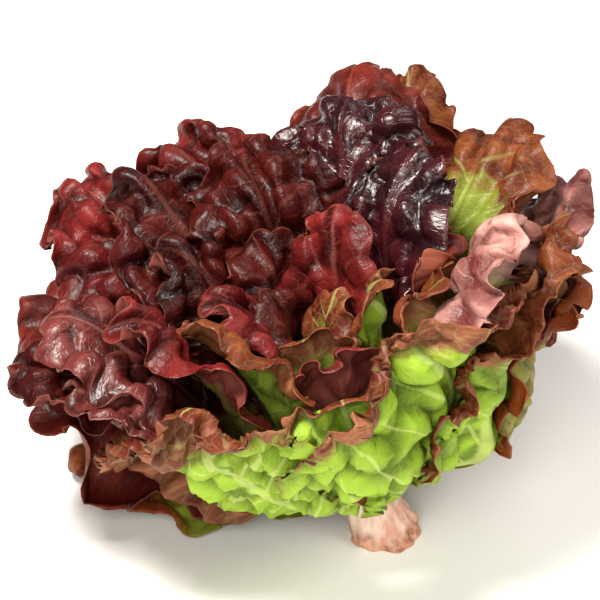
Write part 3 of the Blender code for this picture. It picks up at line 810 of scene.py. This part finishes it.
def still_needed(leaf, bend, tree):
    """How much further out each point of the leaf has to go, at its grid's half steps."""
    u, v = solid_grid(leaf)
    points = between(shape(leaf, bend, u, v))
    ways = between(sheet(leaf, bend[1], u, v)[1])
    gap = between(0.5 * thickness(leaf, u, v) + CLEARANCE * smoothstep(0.0, FREE_SHARE, v) + SPARE)
    need = np.zeros(gap.shape)
    for i, j in np.ndindex(gap.shape):
        way = Vector(ways[i, j]).normalized()
        far = REACH_OUT + gap[i, j]
        hit = tree.ray_cast(Vector(points[i, j]) + way * REACH_OUT, -way, far)
        if hit[0] is not None:
            need[i, j] = far - hit[3]
    return need


def cells_of(leaf, faces):
    """The grid cells that some of a leaf's faces belong to."""
    across, along = leaf_grid(leaf)
    rim = 4 * (across - 1) * (along - 1)
    sides = {(i, j) for i in (0, across - 2) for j in range(along - 1)}
    cells = {divmod(face // 4, along - 1) for face in faces if face < rim}
    return cells | sides if any(face >= rim for face in faces) else cells


def neighbours(values):
    """Nine copies of a grid, shifted by up to one step, so that they pair a point with its ring."""
    rows, cols = values.shape[:2]
    rim = ((1, 1), (1, 1)) + ((0, 0),) * (values.ndim - 2)
    padded = np.pad(values, rim, mode="edge")
    return [padded[a : a + rows, b : b + cols] for a in range(3) for b in range(3)]


def bend_clear(leaf, placed):
    """How the leaf is bent: its push outwards and the calming of its waves, as lattices over it.

    It is pushed until it is outside all those placed inside it. Its waves are calmed where they
    are so steep that the leaf would cross itself.
    """
    push = np.zeros(leaf_grid(leaf))
    calm = np.ones(leaf_grid(leaf))
    tree = tree_of(placed)
    root = smoothstep(0.0, ROOT_SHARE, solid_grid(leaf)[1])
    for bend in range(MOST_BENDS):
        need = still_needed(leaf, (push, calm), tree)
        widest = np.max(neighbours(need), axis=0)
        push = push + BEND_STEP * widest[::2, ::2] * root
        points, faces = solid_of(leaf, (push, calm))
        own = tree_of([(points, faces)])
        crossed = cells_of(leaf, [a for a, _ in own.overlap(tree)])
        for i, j in crossed:
            push[i : i + 2, j : j + 2] += CROSSING_STEP * root[i : i + 2, j : j + 2]
        corners = [set(face) for face in faces]
        folded = cells_of(leaf, [a for a, b in own.overlap(own) if not corners[a] & corners[b]])
        for i, j in folded:
            calm[max(i - 1, 0) : i + 3, max(j - 1, 0) : j + 3] *= CALMING
        if not crossed and not folded and bend >= LEAST_BENDS:
            break
    return push, calm


def head():
    """(leaf, bend) for each leaf, from the innermost outwards."""
    placed, made = [stump_solid()], []
    for leaf in LEAVES:
        bend = bend_clear(leaf, placed)
        placed.append(solid_of(leaf, bend))
        made.append((leaf, bend))
    return made


def stump_solid():
    """Vertices and triangles of the stump, turned about its stem, before its foot is cut."""
    neck = np.linspace(STUMP_START, STUMP_SHOULDER, STUMP_RINGS)
    crown = STUMP_TOP - (STUMP_TOP - STUMP_SHOULDER) * np.array(STUMP_CROWN_RINGS)
    heights = np.concatenate([neck, crown])
    points = [(0.0, 0.0, heights[0])]
    for height in heights:
        for k in range(STUMP_SIDES):
            turn = 2.0 * math.pi * k / STUMP_SIDES
            low = 1.0 - smoothstep(*STUMP_SCAR_HEIGHTS, height)
            scar = STUMP_SCAR * low * math.sin(STUMP_SCARS * turn + 1.0)
            radius = stump_radius(height) * (1.0 + scar)
            points.append((radius * math.cos(turn), radius * math.sin(turn), height))
    points.append((0.0, 0.0, STUMP_TOP))
    faces = []
    for ring in range(len(heights) - 1):
        for k in range(STUMP_SIDES):
            a = 1 + ring * STUMP_SIDES + k
            b = 1 + ring * STUMP_SIDES + (k + 1) % STUMP_SIDES
            faces += [(a, b, b + STUMP_SIDES), (a, b + STUMP_SIDES, a + STUMP_SIDES)]
    top = 1 + (len(heights) - 1) * STUMP_SIDES
    for k in range(STUMP_SIDES):
        following = (k + 1) % STUMP_SIDES
        faces.append((0, 1 + following, 1 + k))
        faces.append((top + k, top + following, len(points) - 1))
    return np.array(points), faces


def cut_foot(mesh):
    """Cuts the stump along the surface that it stands on, which leaves its slanted face."""
    bm = bmesh.new()
    bm.from_mesh(mesh)
    cut = bmesh.ops.bisect_plane(
        bm,
        geom=bm.verts[:] + bm.edges[:] + bm.faces[:],
        dist=1e-7,
        plane_co=(0.0, 0.0, 0.0),
        plane_no=Vector(TO_WORLD[2]),
        clear_inner=True,
    )
    edge = [item for item in cut["geom_cut"] if isinstance(item, bmesh.types.BMEdge)]
    bmesh.ops.contextual_create(bm, geom=edge)
    bmesh.ops.recalc_face_normals(bm, faces=bm.faces[:])
    bm.to_mesh(mesh)
    bm.free()


def cells_noise(leaf, x, y, size, salt):
    """Rounded cells between creases: 0 at a crease, rising to 1 in the middle of each cell."""
    draw = np.random.default_rng(500 * leaf.seed + salt)
    jitter = draw.uniform(*CELL_JITTER, (CELL_DRAWS, CELL_DRAWS, 2))
    across, along = x / size + CELL_START, y / size + CELL_START
    column, row = np.floor(across).astype(int), np.floor(along).astype(int)
    gaps = []
    for i in (-1, 0, 1):
        for j in (-1, 0, 1):
            seed = jitter[(column + i) % CELL_DRAWS, (row + j) % CELL_DRAWS]
            gaps.append(np.hypot(column + i + seed[..., 0] - across, row + j + seed[..., 1] - along))
    nearest = np.sort(np.stack(gaps), axis=0)
    rise = np.clip((nearest[1] - nearest[0]) / CREASE_SHARE, 0.0, 1.0)
    return rise * (2.0 - rise)


def side_veins(leaf, x, y):
    """A count that is whole along each side vein and half way between at a half."""
    warp = VEIN_WARP * noise(leaf, x, y, 0.5 * leaf.width, 6)
    offset = np.where(x > 0.0, VEIN_STAGGER, 0.0)
    return (y - VEIN_SLOPE * np.abs(x)) / VEIN_SPACING + warp + offset


def relief(leaf, u, v):
    """How far the fine surface stands outwards: raised veins outside, blisters swelling inwards."""
    x, y, margin, _ = flat(leaf, u, v)
    wide = x + STIR * noise(leaf, x, y, STIR_SIZE, 7)
    tall = y + STIR * noise(leaf, x, y, STIR_SIZE, 8)
    blisters = dress_of(leaf).blisters
    large = cells_noise(leaf, wide, tall, BULGE_SIZE if blisters < 0.0 else BLISTER_SIZE, 1)
    small = cells_noise(leaf, wide, tall, PUCKER_SIZE, 2)
    blistered = blisters * smoothstep(*BLISTER_FROM, v)
    off_rib = smoothstep(*OFF_RIB, np.abs(x))
    share = np.where(blistered < 0.0, BULGE_SHARE, BLISTER_SHARE)
    swell = BLISTER_HEIGHT * off_rib * (large - share) + PUCKER_HEIGHT * (small - share)
    count = side_veins(leaf, x, y)
    away = np.abs(count - np.round(count)) * VEIN_SPACING * VEIN_SLANT
    veins = np.exp(-((away / VEIN_HALF_WIDTH) ** 2)) * (1.0 - margin) * off_rib
    rib = np.exp(-((x / (MIDRIB_WIDENING * VEIN_HALF_WIDTH)) ** 2))
    rib = rib * (1.0 - v) ** MIDRIB_FADE * smoothstep(*MIDRIB_FROM, v)
    return VEIN_DEPTH * veins + MIDRIB_DEPTH * rib - blistered * swell, large


def grid_normals(points):
    """Unit normals of a fine grid of points, towards the leaf's outer face."""
    normal = np.cross(np.gradient(points, axis=0), np.gradient(points, axis=1))
    return normal / np.maximum(np.linalg.norm(normal, axis=-1), 1e-9)[..., None]


def inside_box(points):
    """The same points, drawn softly inside the model's box where they would leave it."""
    world = points @ TO_WORLD.T
    for axis, (low, high) in enumerate(zip(*BOX)):
        for limit, sign in ((high, 1.0), (low, -1.0)):
            if axis == 2 and sign < 0.0:
                continue
            past = sign * (world[..., axis] - limit) + BOX_BLEND
            soft = BOX_BLEND * np.tanh(np.clip(past, 0.0, None) / BOX_BLEND)
            world[..., axis] -= sign * np.where(past > 0.0, past - soft, 0.0)
    return world @ TO_WORLD


def fine_middle(leaf, bend, last, u, v):
    """The fine mid-surface with its relief, its bending ways and its blisters."""
    push, calm = bend
    points, ways = sheet(leaf, calm, u, v, finer=True)
    points = points + ways * (interpolate(push, u, v) + interpolate(last, u, v))[..., None]
    rise, blister = relief(leaf, u, v)
    points = points + grid_normals(points) * rise[..., None]
    points = above_floor(inside_box(points), FLOOR_GAP + FINE_THICKNESS)
    return points, ways, blister


def margin_crowded(count):
    """Values from -1 to 1 that stand closer together near both ends."""
    even = np.linspace(-1.0, 1.0, count)
    return (1.0 - MARGIN_CELLS) * np.sin(0.5 * math.pi * even) + MARGIN_CELLS * even


def outer_tree(points):
    """A search tree of one face of a leaf."""
    faces = halves_of(*points.shape[:2])
    return BVHTree.FromPolygons(points.reshape(-1, 3).tolist(), faces)


def shortfall(trees, start, back, far):
    """How far a point that is looked for from outside falls short of being clear of the trees."""
    need = 0.0
    for tree in trees:
        hit = tree.ray_cast(start, back, far)
        if hit[0] is not None:
            need = max(need, far - hit[3])
    return need


def last_bend(leaf, bend, inner_trees):
    """How much further out each point goes to bring the finer leaf off those inside it."""
    across, along = LAST_GRID
    u, v = np.meshgrid(np.linspace(-1.0, 1.0, across), np.linspace(0.0, 1.0, along), indexing="ij")
    last = np.zeros(LAST_GRID)
    free = smoothstep(*LAST_FREE, v)
    for _ in range(LAST_BENDS):
        points, ways, _ = fine_middle(leaf, bend, last, u, v)
        need = np.zeros(LAST_GRID)
        for i, j in np.ndindex(LAST_GRID):
            if v[i, j] < LAST_FROM:
                continue
            way = Vector(ways[i, j]).normalized()
            start = Vector(points[i, j]) + way * LAST_REACH
            need[i, j] = shortfall(inner_trees, start, -way, LAST_REACH + LAST_GAP)
        if need.max() < LAST_ENOUGH:
            break
        widest = np.max(neighbours(need), axis=0)
        last = last + LAST_STEP * widest * free
    return last


def softened(values, times=1):
    """Values on a grid, each replaced by the mean of itself and its neighbours."""
    for _ in range(times):
        values = sum(neighbours(values)) / 9.0
    return values


def clear_points(points, ways, v, trees):
    """The fine points, each moved out along its way where an inner leaf still lies past it."""
    need = np.zeros(points.shape[:2])
    ways = ways / np.maximum(np.linalg.norm(ways, axis=-1), 1e-9)[..., None]
    starts = points + ways * CLEAR_REACH
    for i, j in np.ndindex(need.shape):
        if v[i, j] < CLEAR_FROM:
            continue
        start, back = Vector(starts[i, j]), Vector(-ways[i, j])
        need[i, j] = shortfall(trees, start, back, CLEAR_REACH + CLEAR_GAP)
    return points + ways * softened(np.max(neighbours(need), axis=0))[..., None]


def redness(leaf, u, v, margin, outer):
    """How red each point is: leaves are green near their roots and red towards the margin."""
    dress = dress_of(leaf)
    start = dress.outer_red if outer else dress.inner_red
    reach = RED_ALONG * v + RED_AT_MARGIN * margin - dress.left_red * u
    return smoothstep(start - RED_BEFORE, start + RED_AFTER, reach)


def leaf_mesh(leaf, bend, last, size, trees):
    """The finer leaf as one closed blade, with what its material reads at each point."""
    cell = size * (UNDER_CELL if leaf.name in UNDER else 1.0)
    across = int(leaf.width / CELL_ACROSS / cell) | 1
    along = int(midrib_of(leaf)[1][-1] / CELL_ALONG / cell)
    u, v = np.meshgrid(margin_crowded(across), np.linspace(0.0, 1.0, along), indexing="ij")
    middle, ways, blister = fine_middle(leaf, bend, last, u, v)
    middle = above_floor(clear_points(middle, ways, v, trees), FLOOR_GAP + FINE_THICKNESS)
    normal = grid_normals(softened(middle, NORMAL_SOFTENING))
    trees.append(outer_tree(middle))
    x, y, margin, _ = flat(leaf, u, v)

    edge = np.maximum(np.abs(u) ** EDGE_ACROSS, v**EDGE_ALONG)
    blade = FINE_THICKNESS + (EDGE_THICKNESS - FINE_THICKNESS) * edge
    rib = np.clip(1.0 - np.abs(x) / FINE_RIB_HALF_WIDTH, 0.0, 1.0)
    rib = (3.0 * rib**2 - 2.0 * rib**3) * (1.0 - v) ** RIB_FADE
    rib = rib * size_of(leaf) * (RIB_THICKNESS - BLADE_THICKNESS)
    outer = middle + normal * (0.5 * blade + RIB_OUTSIDE * rib)[..., None]
    inner = middle - normal * (0.5 * blade + RIB_INSIDE * rib)[..., None]
    points = np.concatenate([outer.reshape(-1, 3), inner.reshape(-1, 3)]) @ TO_WORLD.T * MM

    index = np.arange(across * along).reshape(across, along)
    cells = np.stack([index[:-1, :-1], index[1:, :-1], index[1:, 1:], index[:-1, 1:]], -1).reshape(-1, 4)
    ring = np.concatenate([index[:, 0], index[-1, 1:], index[-2::-1, -1], index[0, -2:0:-1]])
    after = np.roll(ring, -1)
    count = across * along
    strip = np.stack([ring, ring + count, after + count, after], -1)
    faces = np.concatenate([cells, cells[:, [0, 3, 2, 1]] + count, strip])

    line = RIB_LINE + RIB_HALF_WIDTH * size_of(leaf) * (1.0 - v) ** RIB_LINE_FADE
    reads = {
        "side": np.concatenate([np.ones(count), np.zeros(count)]),
        "red": np.concatenate([redness(leaf, u, v, margin, side).ravel() for side in (True, False)]),
        "vein": np.tile(side_veins(leaf, x, y).ravel(), 2),
        "rib": np.tile((np.abs(x) / line).ravel(), 2),
        "blister": np.tile(blister.ravel(), 2),
        "margin": np.tile(margin.ravel(), 2),
        "edge": np.tile(edge.ravel(), 2),
    }
    flat_place = np.tile(np.stack([x + LEAF_APART * leaf.seed, y], -1).reshape(-1, 2), (2, 1)) * MM
    return points, faces, reads, flat_place


def quick_mesh(name, points, faces):
    """A mesh of four-cornered faces."""
    mesh = bpy.data.meshes.new(name)
    mesh.vertices.add(len(points))
    mesh.vertices.foreach_set("co", points.astype(np.float32).ravel())
    mesh.loops.add(faces.size)
    mesh.loops.foreach_set("vertex_index", faces.astype(np.int32).ravel())
    mesh.polygons.add(len(faces))
    mesh.polygons.foreach_set("loop_start", np.arange(0, faces.size, 4, dtype=np.int32))
    mesh.polygons.foreach_set("use_smooth", np.ones(len(faces), dtype=bool))
    mesh.update(calc_edges=True)
    return mesh


def add_values(mesh, name, values):
    """Gives each point of a mesh a value that its material reads."""
    mesh.attributes.new(name, "FLOAT", "POINT").data.foreach_set("value", values.astype(np.float32))


def added(name, data):
    """A new object in the scene."""
    thing = bpy.data.objects.new(name, data)
    bpy.context.scene.collection.objects.link(thing)
    return thing


def add_leaf(leaf, bend, last, size, trees, materials):
    """Adds one finer leaf as a piece that stands for its node."""
    points, faces, reads, place = leaf_mesh(leaf, bend, last, size, trees)
    mesh = quick_mesh(leaf.name, points, faces)
    for name, values in reads.items():
        add_values(mesh, name, values)
    layer = mesh.uv_layers.new(name="flat")
    layer.data.foreach_set("uv", place[faces.ravel()].astype(np.float32).ravel())
    mesh.materials.append(materials[dress_of(leaf).paint])
    piece = added(leaf.name + "_fine", mesh)
    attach(piece, "root")
    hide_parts(leaf.name)


class Shade:
    """A material's nodes, added with short calls."""

    def __init__(self, name):
        self.material = bpy.data.materials.new(name)
        self.material.use_nodes = True
        self.tree = self.material.node_tree
        self.shader = self.tree.nodes["Principled BSDF"]

    def node(self, kind, **settings):
        made = self.tree.nodes.new(kind)
        for name, value in settings.items():
            setattr(made, name, value)
        return made

    def link(self, value, socket):
        """Joins an output to a socket, or sets the socket to a plain value."""
        if isinstance(value, bpy.types.NodeSocket):
            self.tree.links.new(value, socket)
        else:
            socket.default_value = value

    def give(self, name, value):
        """Joins an output to one of the shader's sockets, or sets that socket to a plain value."""
        self.link(value, self.shader.inputs[name])

    def read(self, name):
        return self.node("ShaderNodeAttribute", attribute_name=name).outputs["Fac"]

    def place(self, scale):
        """The flat leaf's own coordinates, scaled so that one unit is scale millimetres."""
        spot = self.node("ShaderNodeUVMap", uv_map="flat").outputs["UV"]
        by = self.node("ShaderNodeVectorMath", operation="SCALE")
        self.link(spot, by.inputs[0])
        by.inputs["Scale"].default_value = 1.0 / (scale * MM)
        return by.outputs["Vector"]

    def shaken(self, scale, amount):
        """The same coordinates, moved about so that lines on them aren't straight."""
        stir = self.node("ShaderNodeTexNoise", noise_dimensions="2D")
        self.link(self.place(0.8 * scale), stir.inputs["Vector"])
        stir.inputs["Scale"].default_value = 1.0
        by = self.node("ShaderNodeVectorMath", operation="MULTIPLY_ADD")
        self.link(stir.outputs["Color"], by.inputs[0])
        by.inputs[1].default_value = (amount, amount, 0.0)
        self.link(self.place(scale), by.inputs[2])
        return by.outputs["Vector"]

    def math(self, operation, *values, clamp=False):
        made = self.node("ShaderNodeMath", operation=operation, use_clamp=clamp)
        for value, socket in zip(values, made.inputs):
            self.link(value, socket)
        return made.outputs[0]

    def ramp(self, value, low, high, to_low=0.0, to_high=1.0):
        made = self.node("ShaderNodeMapRange", interpolation_type="SMOOTHSTEP")
        self.link(value, made.inputs["Value"])
        for name, number in (("From Min", low), ("From Max", high), ("To Min", to_low), ("To Max", to_high)):
            made.inputs[name].default_value = number
        return made.outputs["Result"]

    def mix(self, share, a, b):
        made = self.node("ShaderNodeMix", data_type="RGBA")
        self.link(share, made.inputs["Factor"])
        self.link((*a, 1.0) if isinstance(a, tuple) else a, made.inputs["A"])
        self.link((*b, 1.0) if isinstance(b, tuple) else b, made.inputs["B"])
        return made.outputs["Result"]

    def noise(self, place, detail, roughness=0.5, scale=1.0, dimensions="2D"):
        made = self.node("ShaderNodeTexNoise", noise_dimensions=dimensions)
        self.link(place, made.inputs["Vector"])
        made.inputs["Scale"].default_value = scale
        made.inputs["Detail"].default_value = detail
        made.inputs["Roughness"].default_value = roughness
        return made.outputs["Fac"]

    def bump(self, height, distance, strength):
        made = self.node("ShaderNodeBump")
        made.inputs["Strength"].default_value = strength
        made.inputs["Distance"].default_value = distance
        self.link(height, made.inputs["Height"])
        return made.outputs["Normal"]


def darker(colour, share):
    return tuple(share * c for c in colour)


def leaf_material(name, paint):
    """Blistered leaf: a red inner face, a greener outer one, pale veins, a thin reddish edge, and painted
    shade in the creases between blisters.
    """
    shade = Shade("lettuce_" + name)
    side, red, margin = shade.read("side"), shade.read("red"), shade.read("margin")
    blister = shade.read("blister")
    patches = shade.noise(shade.place(PATCH_SIZE), 3.0, 0.55)
    mottle = shade.noise(shade.place(MOTTLE_SIZE), 4.0, 0.6)

    net = shade.node("ShaderNodeTexVoronoi", voronoi_dimensions="2D", feature="DISTANCE_TO_EDGE")
    shade.link(shade.shaken(NET_SIZE, 0.9), net.inputs["Vector"])
    net.inputs["Scale"].default_value = 1.0
    fine_veins = shade.ramp(net.outputs["Distance"], 0.02, 0.16, 1.0, 0.0)

    between = shade.math("PINGPONG", shade.read("vein"), 0.5)
    side_vein = shade.ramp(between, 0.015, 0.075, 1.0, 0.0)
    side_vein = shade.math("MULTIPLY", side_vein, shade.ramp(margin, 0.35, 0.9, 1.0, 0.0))
    midrib = shade.ramp(shade.read("rib"), 0.45, 1.0, 1.0, 0.0)
    veins = shade.math("MAXIMUM", side_vein, midrib)

    # Painted shade: each blister is painted lighter on its dome and darker towards its creases, over the
    # leaf's own random patches and mottle.
    light = shade.math("MULTIPLY_ADD", blister, 0.45, -0.12)
    light = shade.math("ADD", light, shade.ramp(patches, 0.30, 0.72), clamp=True)
    light = shade.math("MULTIPLY", light, shade.ramp(mottle, 0.15, 0.75, 0.55, 1.0))
    inner_red = shade.mix(light, paint.inner_dark, paint.inner_light)
    # The inner face's creases between blisters turn to its dark colour: partly painted shade, partly the
    # leaf's own deeper red there.
    inner_red = shade.mix(shade.ramp(blister, 0.0, 0.5, 0.75, 0.0), inner_red, paint.inner_dark)
    turn = shade.ramp(shade.math("ADD", red, shade.ramp(mottle, 0.2, 0.8, -0.2, 0.2)), 0.2, 0.8)
    inner = shade.mix(turn, paint.inner_base, inner_red)
    inner = shade.mix(shade.math("MULTIPLY", veins, 0.30), inner, paint.vein)
    inner = shade.mix(shade.math("MULTIPLY", fine_veins, 0.06), inner, paint.vein)

    # dim is the outer face's own darker tone in random patches; crease is painted shade for the creases
    # between blisters.
    dim, crease = darker(paint.outer_base, 0.62), darker(paint.outer_base, 0.26)
    outer_green = shade.mix(shade.ramp(patches, 0.25, 0.75), paint.outer_base, dim)
    outer_green = shade.mix(shade.ramp(blister, 0.0, 0.75, 0.85, 0.0), outer_green, crease)
    # The red turns to its pale bloom in random patches and, as painted light, on the blisters' domes.
    outer_red = shade.mix(light, darker(paint.outer_tip, 0.55), paint.bloom)
    outer = shade.mix(turn, outer_green, outer_red)
    outer = shade.mix(shade.math("MULTIPLY", veins, shade.ramp(turn, 0.0, 1.0, 0.5, 0.14)), outer, paint.vein)
    outer = shade.mix(shade.math("MULTIPLY", fine_veins, 0.08), outer, paint.vein)

    colour = shade.mix(side, inner, outer)
    edge = shade.ramp(shade.read("edge"), 0.4, 1.0, 0.0, 0.28)
    colour = shade.mix(edge, colour, EDGE_COLOUR)
    shade.give("Base Color", colour)

    dull = shade.ramp(side, 0.0, 1.0, paint.gloss, OUTER_ROUGHNESS)
    dull = shade.math("ADD", dull, shade.ramp(mottle, 0.2, 0.8, -0.04, 0.10))
    shade.give("Roughness", dull)
    shade.give("Subsurface Weight", 0.10)
    shade.give("Subsurface Radius", (0.0022, 0.0012, 0.0006))
    shade.give("Subsurface Scale", 1.0)
    shade.give("IOR", 1.4)
    shade.give("Specular IOR Level", paint.shine)

    raised = shade.ramp(side, 0.0, 1.0, -1.0, 1.0)
    height = shade.math("ADD", fine_veins, shade.math("MULTIPLY", veins, 1.4))
    height = shade.math("MULTIPLY", height, raised)
    height = shade.math("ADD", height, shade.math("MULTIPLY", mottle, 0.9))
    shade.give("Normal", shade.bump(height, 0.0003, 0.4))
    return shade.material


def stump_material():
    """Cut stem: pale pink flesh, redder streaks along it, and an orange-brown torn end."""
    shade = Shade("lettuce_stump")
    where = shade.node("ShaderNodeTexCoord").outputs["Object"]
    stretch = shade.node("ShaderNodeMapping")
    shade.link(where, stretch.inputs["Vector"])
    stretch.inputs["Scale"].default_value = (220.0, 220.0, 45.0)
    streaks = shade.noise(stretch.outputs["Vector"], 4.0, dimensions="3D")
    blotches = shade.noise(where, 5.0, scale=150.0, dimensions="3D")
    blotch = shade.ramp(blotches, 0.45, 0.66)

    flesh = shade.mix(shade.ramp(streaks, 0.38, 0.68), *FLESH)
    green = shade.mix(shade.read("top"), flesh, STEM_GREEN)
    share = shade.math("MULTIPLY", shade.read("torn"), shade.ramp(blotch, 0.0, 1.0, 0.6, 1.0))
    colour = shade.mix(share, green, shade.mix(blotch, *TORN))
    shade.give("Base Color", colour)
    shade.give("Roughness", shade.ramp(streaks, 0.3, 0.7, 0.32, 0.55))
    shade.give("Subsurface Weight", 0.15)
    shade.give("Subsurface Radius", (0.004, 0.002, 0.0015))
    shade.give("Subsurface Scale", 1.0)
    shade.give("Normal", shade.bump(streaks, 0.0008, 0.8))
    return shade.material


def add_stump(look):
    """The finer stump: scars and torn flakes round its cut end, and low ribs along it."""
    heights = np.linspace(STUMP_START, STUMP_TOP - 0.5, FINE_RINGS)
    turn = np.linspace(0.0, 2.0 * math.pi, FINE_SIDES, endpoint=False)
    height, angle = np.meshgrid(heights, turn, indexing="ij")
    radius = stump_radius(height)
    low = 1.0 - smoothstep(*STUMP_SCAR_HEIGHTS, height)
    radius = radius * (1.0 + STUMP_SCAR * low * np.sin(STUMP_SCARS * angle + 1.0))
    flake = np.sin(FLAKES * angle + 2.0 * np.sin(3.0 * angle)) * np.sin(0.5 * height + 2.0 * angle)
    radius += FLAKE_HEIGHT * (1.0 - smoothstep(*FLAKE_FADE, height)) * flake
    ribs = np.sin(STEM_RIBS * angle + 1.5 * np.sin(0.12 * height + 2.0 * angle))
    radius += STEM_RIB_HEIGHT * ribs * (1.0 - smoothstep(STUMP_SHOULDER, STUMP_TOP, height))
    points = np.stack([radius * np.cos(angle), radius * np.sin(angle), height], -1).reshape(-1, 3)
    index = np.arange(FINE_RINGS * FINE_SIDES).reshape(FINE_RINGS, FINE_SIDES)
    around = np.roll(index, -1, axis=1)
    faces = np.stack([index[:-1], around[:-1], around[1:], index[1:]], -1).reshape(-1, 4)

    mesh = quick_mesh("stump", points * MM, faces)
    bm = bmesh.new()
    bm.from_mesh(mesh)
    bmesh.ops.holes_fill(bm, edges=bm.edges[:], sides=0)
    bm.to_mesh(mesh)
    bm.free()
    cut_foot(mesh)
    mesh.transform(plant_to_world().to_4x4())
    for polygon in mesh.polygons:
        polygon.use_smooth = len(polygon.vertices) == 4
    place = np.zeros(3 * len(mesh.vertices), dtype=np.float32)
    mesh.vertices.foreach_get("co", place)
    level = place.reshape(-1, 3)[:, 2] / MM
    add_values(mesh, "torn", 1.0 - smoothstep(*TORN_FADE, level))
    add_values(mesh, "top", smoothstep(*GREEN_FROM, level))
    mesh.materials.append(look)
    piece = added("stump_fine", mesh)
    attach(piece, "root")
    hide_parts("stump")


def add_floor():
    """A plain pale floor that the head stands on."""
    shade = Shade("pale_floor")
    shade.give("Base Color", FLOOR_COLOUR)
    shade.give("Roughness", 0.7)
    half = FLOOR_HALF
    mesh = bpy.data.meshes.new("floor")
    corners = [(-half, -half, 0), (half, -half, 0), (half, half, 0), (-half, half, 0)]
    mesh.from_pydata(corners, [], [(0, 1, 2, 3)])
    mesh.materials.append(shade.material)
    floor = added("floor", mesh)


def add_light(name, place, size, power):
    light = bpy.data.lights.new(name, "AREA")
    light.size = size
    light.energy = power
    light.color = LIGHT_COLOUR
    lamp = added(name, light)
    lamp.location = place
    lamp.rotation_euler = (Vector(LOOK_AT) - Vector(place)).to_track_quat("-Z", "Y").to_euler()


def add_studio():
    add_floor()
    for name, (place, size, power) in LIGHTS.items():
        add_light(name, place, size, power)
    world = bpy.data.worlds.new("studio")
    world.use_nodes = True
    world.node_tree.nodes["Background"].inputs["Color"].default_value = (1.0, 1.0, 1.0, 1.0)
    world.node_tree.nodes["Background"].inputs["Strength"].default_value = ROOM_LIGHT
    bpy.context.scene.world = world
    bpy.context.scene.view_settings.view_transform = "Standard"


def add_camera():
    """The photographed view: from the front, above the head, from far off."""
    rise = math.radians(CAMERA_RISE_DEG)
    back = Vector((0.0, -math.cos(rise), math.sin(rise)))
    right = Vector((1.0, 0.0, 0.0))
    up = back.cross(right)
    across = (0.5 * PICTURE - STUMP_PIXEL[0]) * PIXEL
    upward = (STUMP_PIXEL[1] - 0.5 * PICTURE) * PIXEL
    target = right * across + up * upward
    data = bpy.data.cameras.new("camera")
    camera = added("camera", data)
    turn = Matrix((right, up, back)).transposed().to_4x4()
    camera.matrix_world = Matrix.Translation(target + back * CAMERA_DISTANCE) @ turn
    data.lens = data.sensor_width * CAMERA_DISTANCE / (PICTURE * PIXEL)
    data.clip_end = CAMERA_FAR
    bpy.context.scene.camera = camera


def main():
    size = 1.0
    materials = {name: leaf_material(name, paint) for name, paint in PAINTS.items()}
    add_stump(stump_material())
    trees = []
    for leaf, bend in head():
        add_leaf(leaf, bend, last_bend(leaf, bend, trees), size, trees, materials)
    add_studio()
    add_camera()


for old in list(bpy.data.objects):
    bpy.data.objects.remove(old)
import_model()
cad_low, cad_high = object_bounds()
BOX = (np.array(cad_low) / MM + BOX_INSIDE, np.array(cad_high) / MM - BOX_INSIDE)
main()
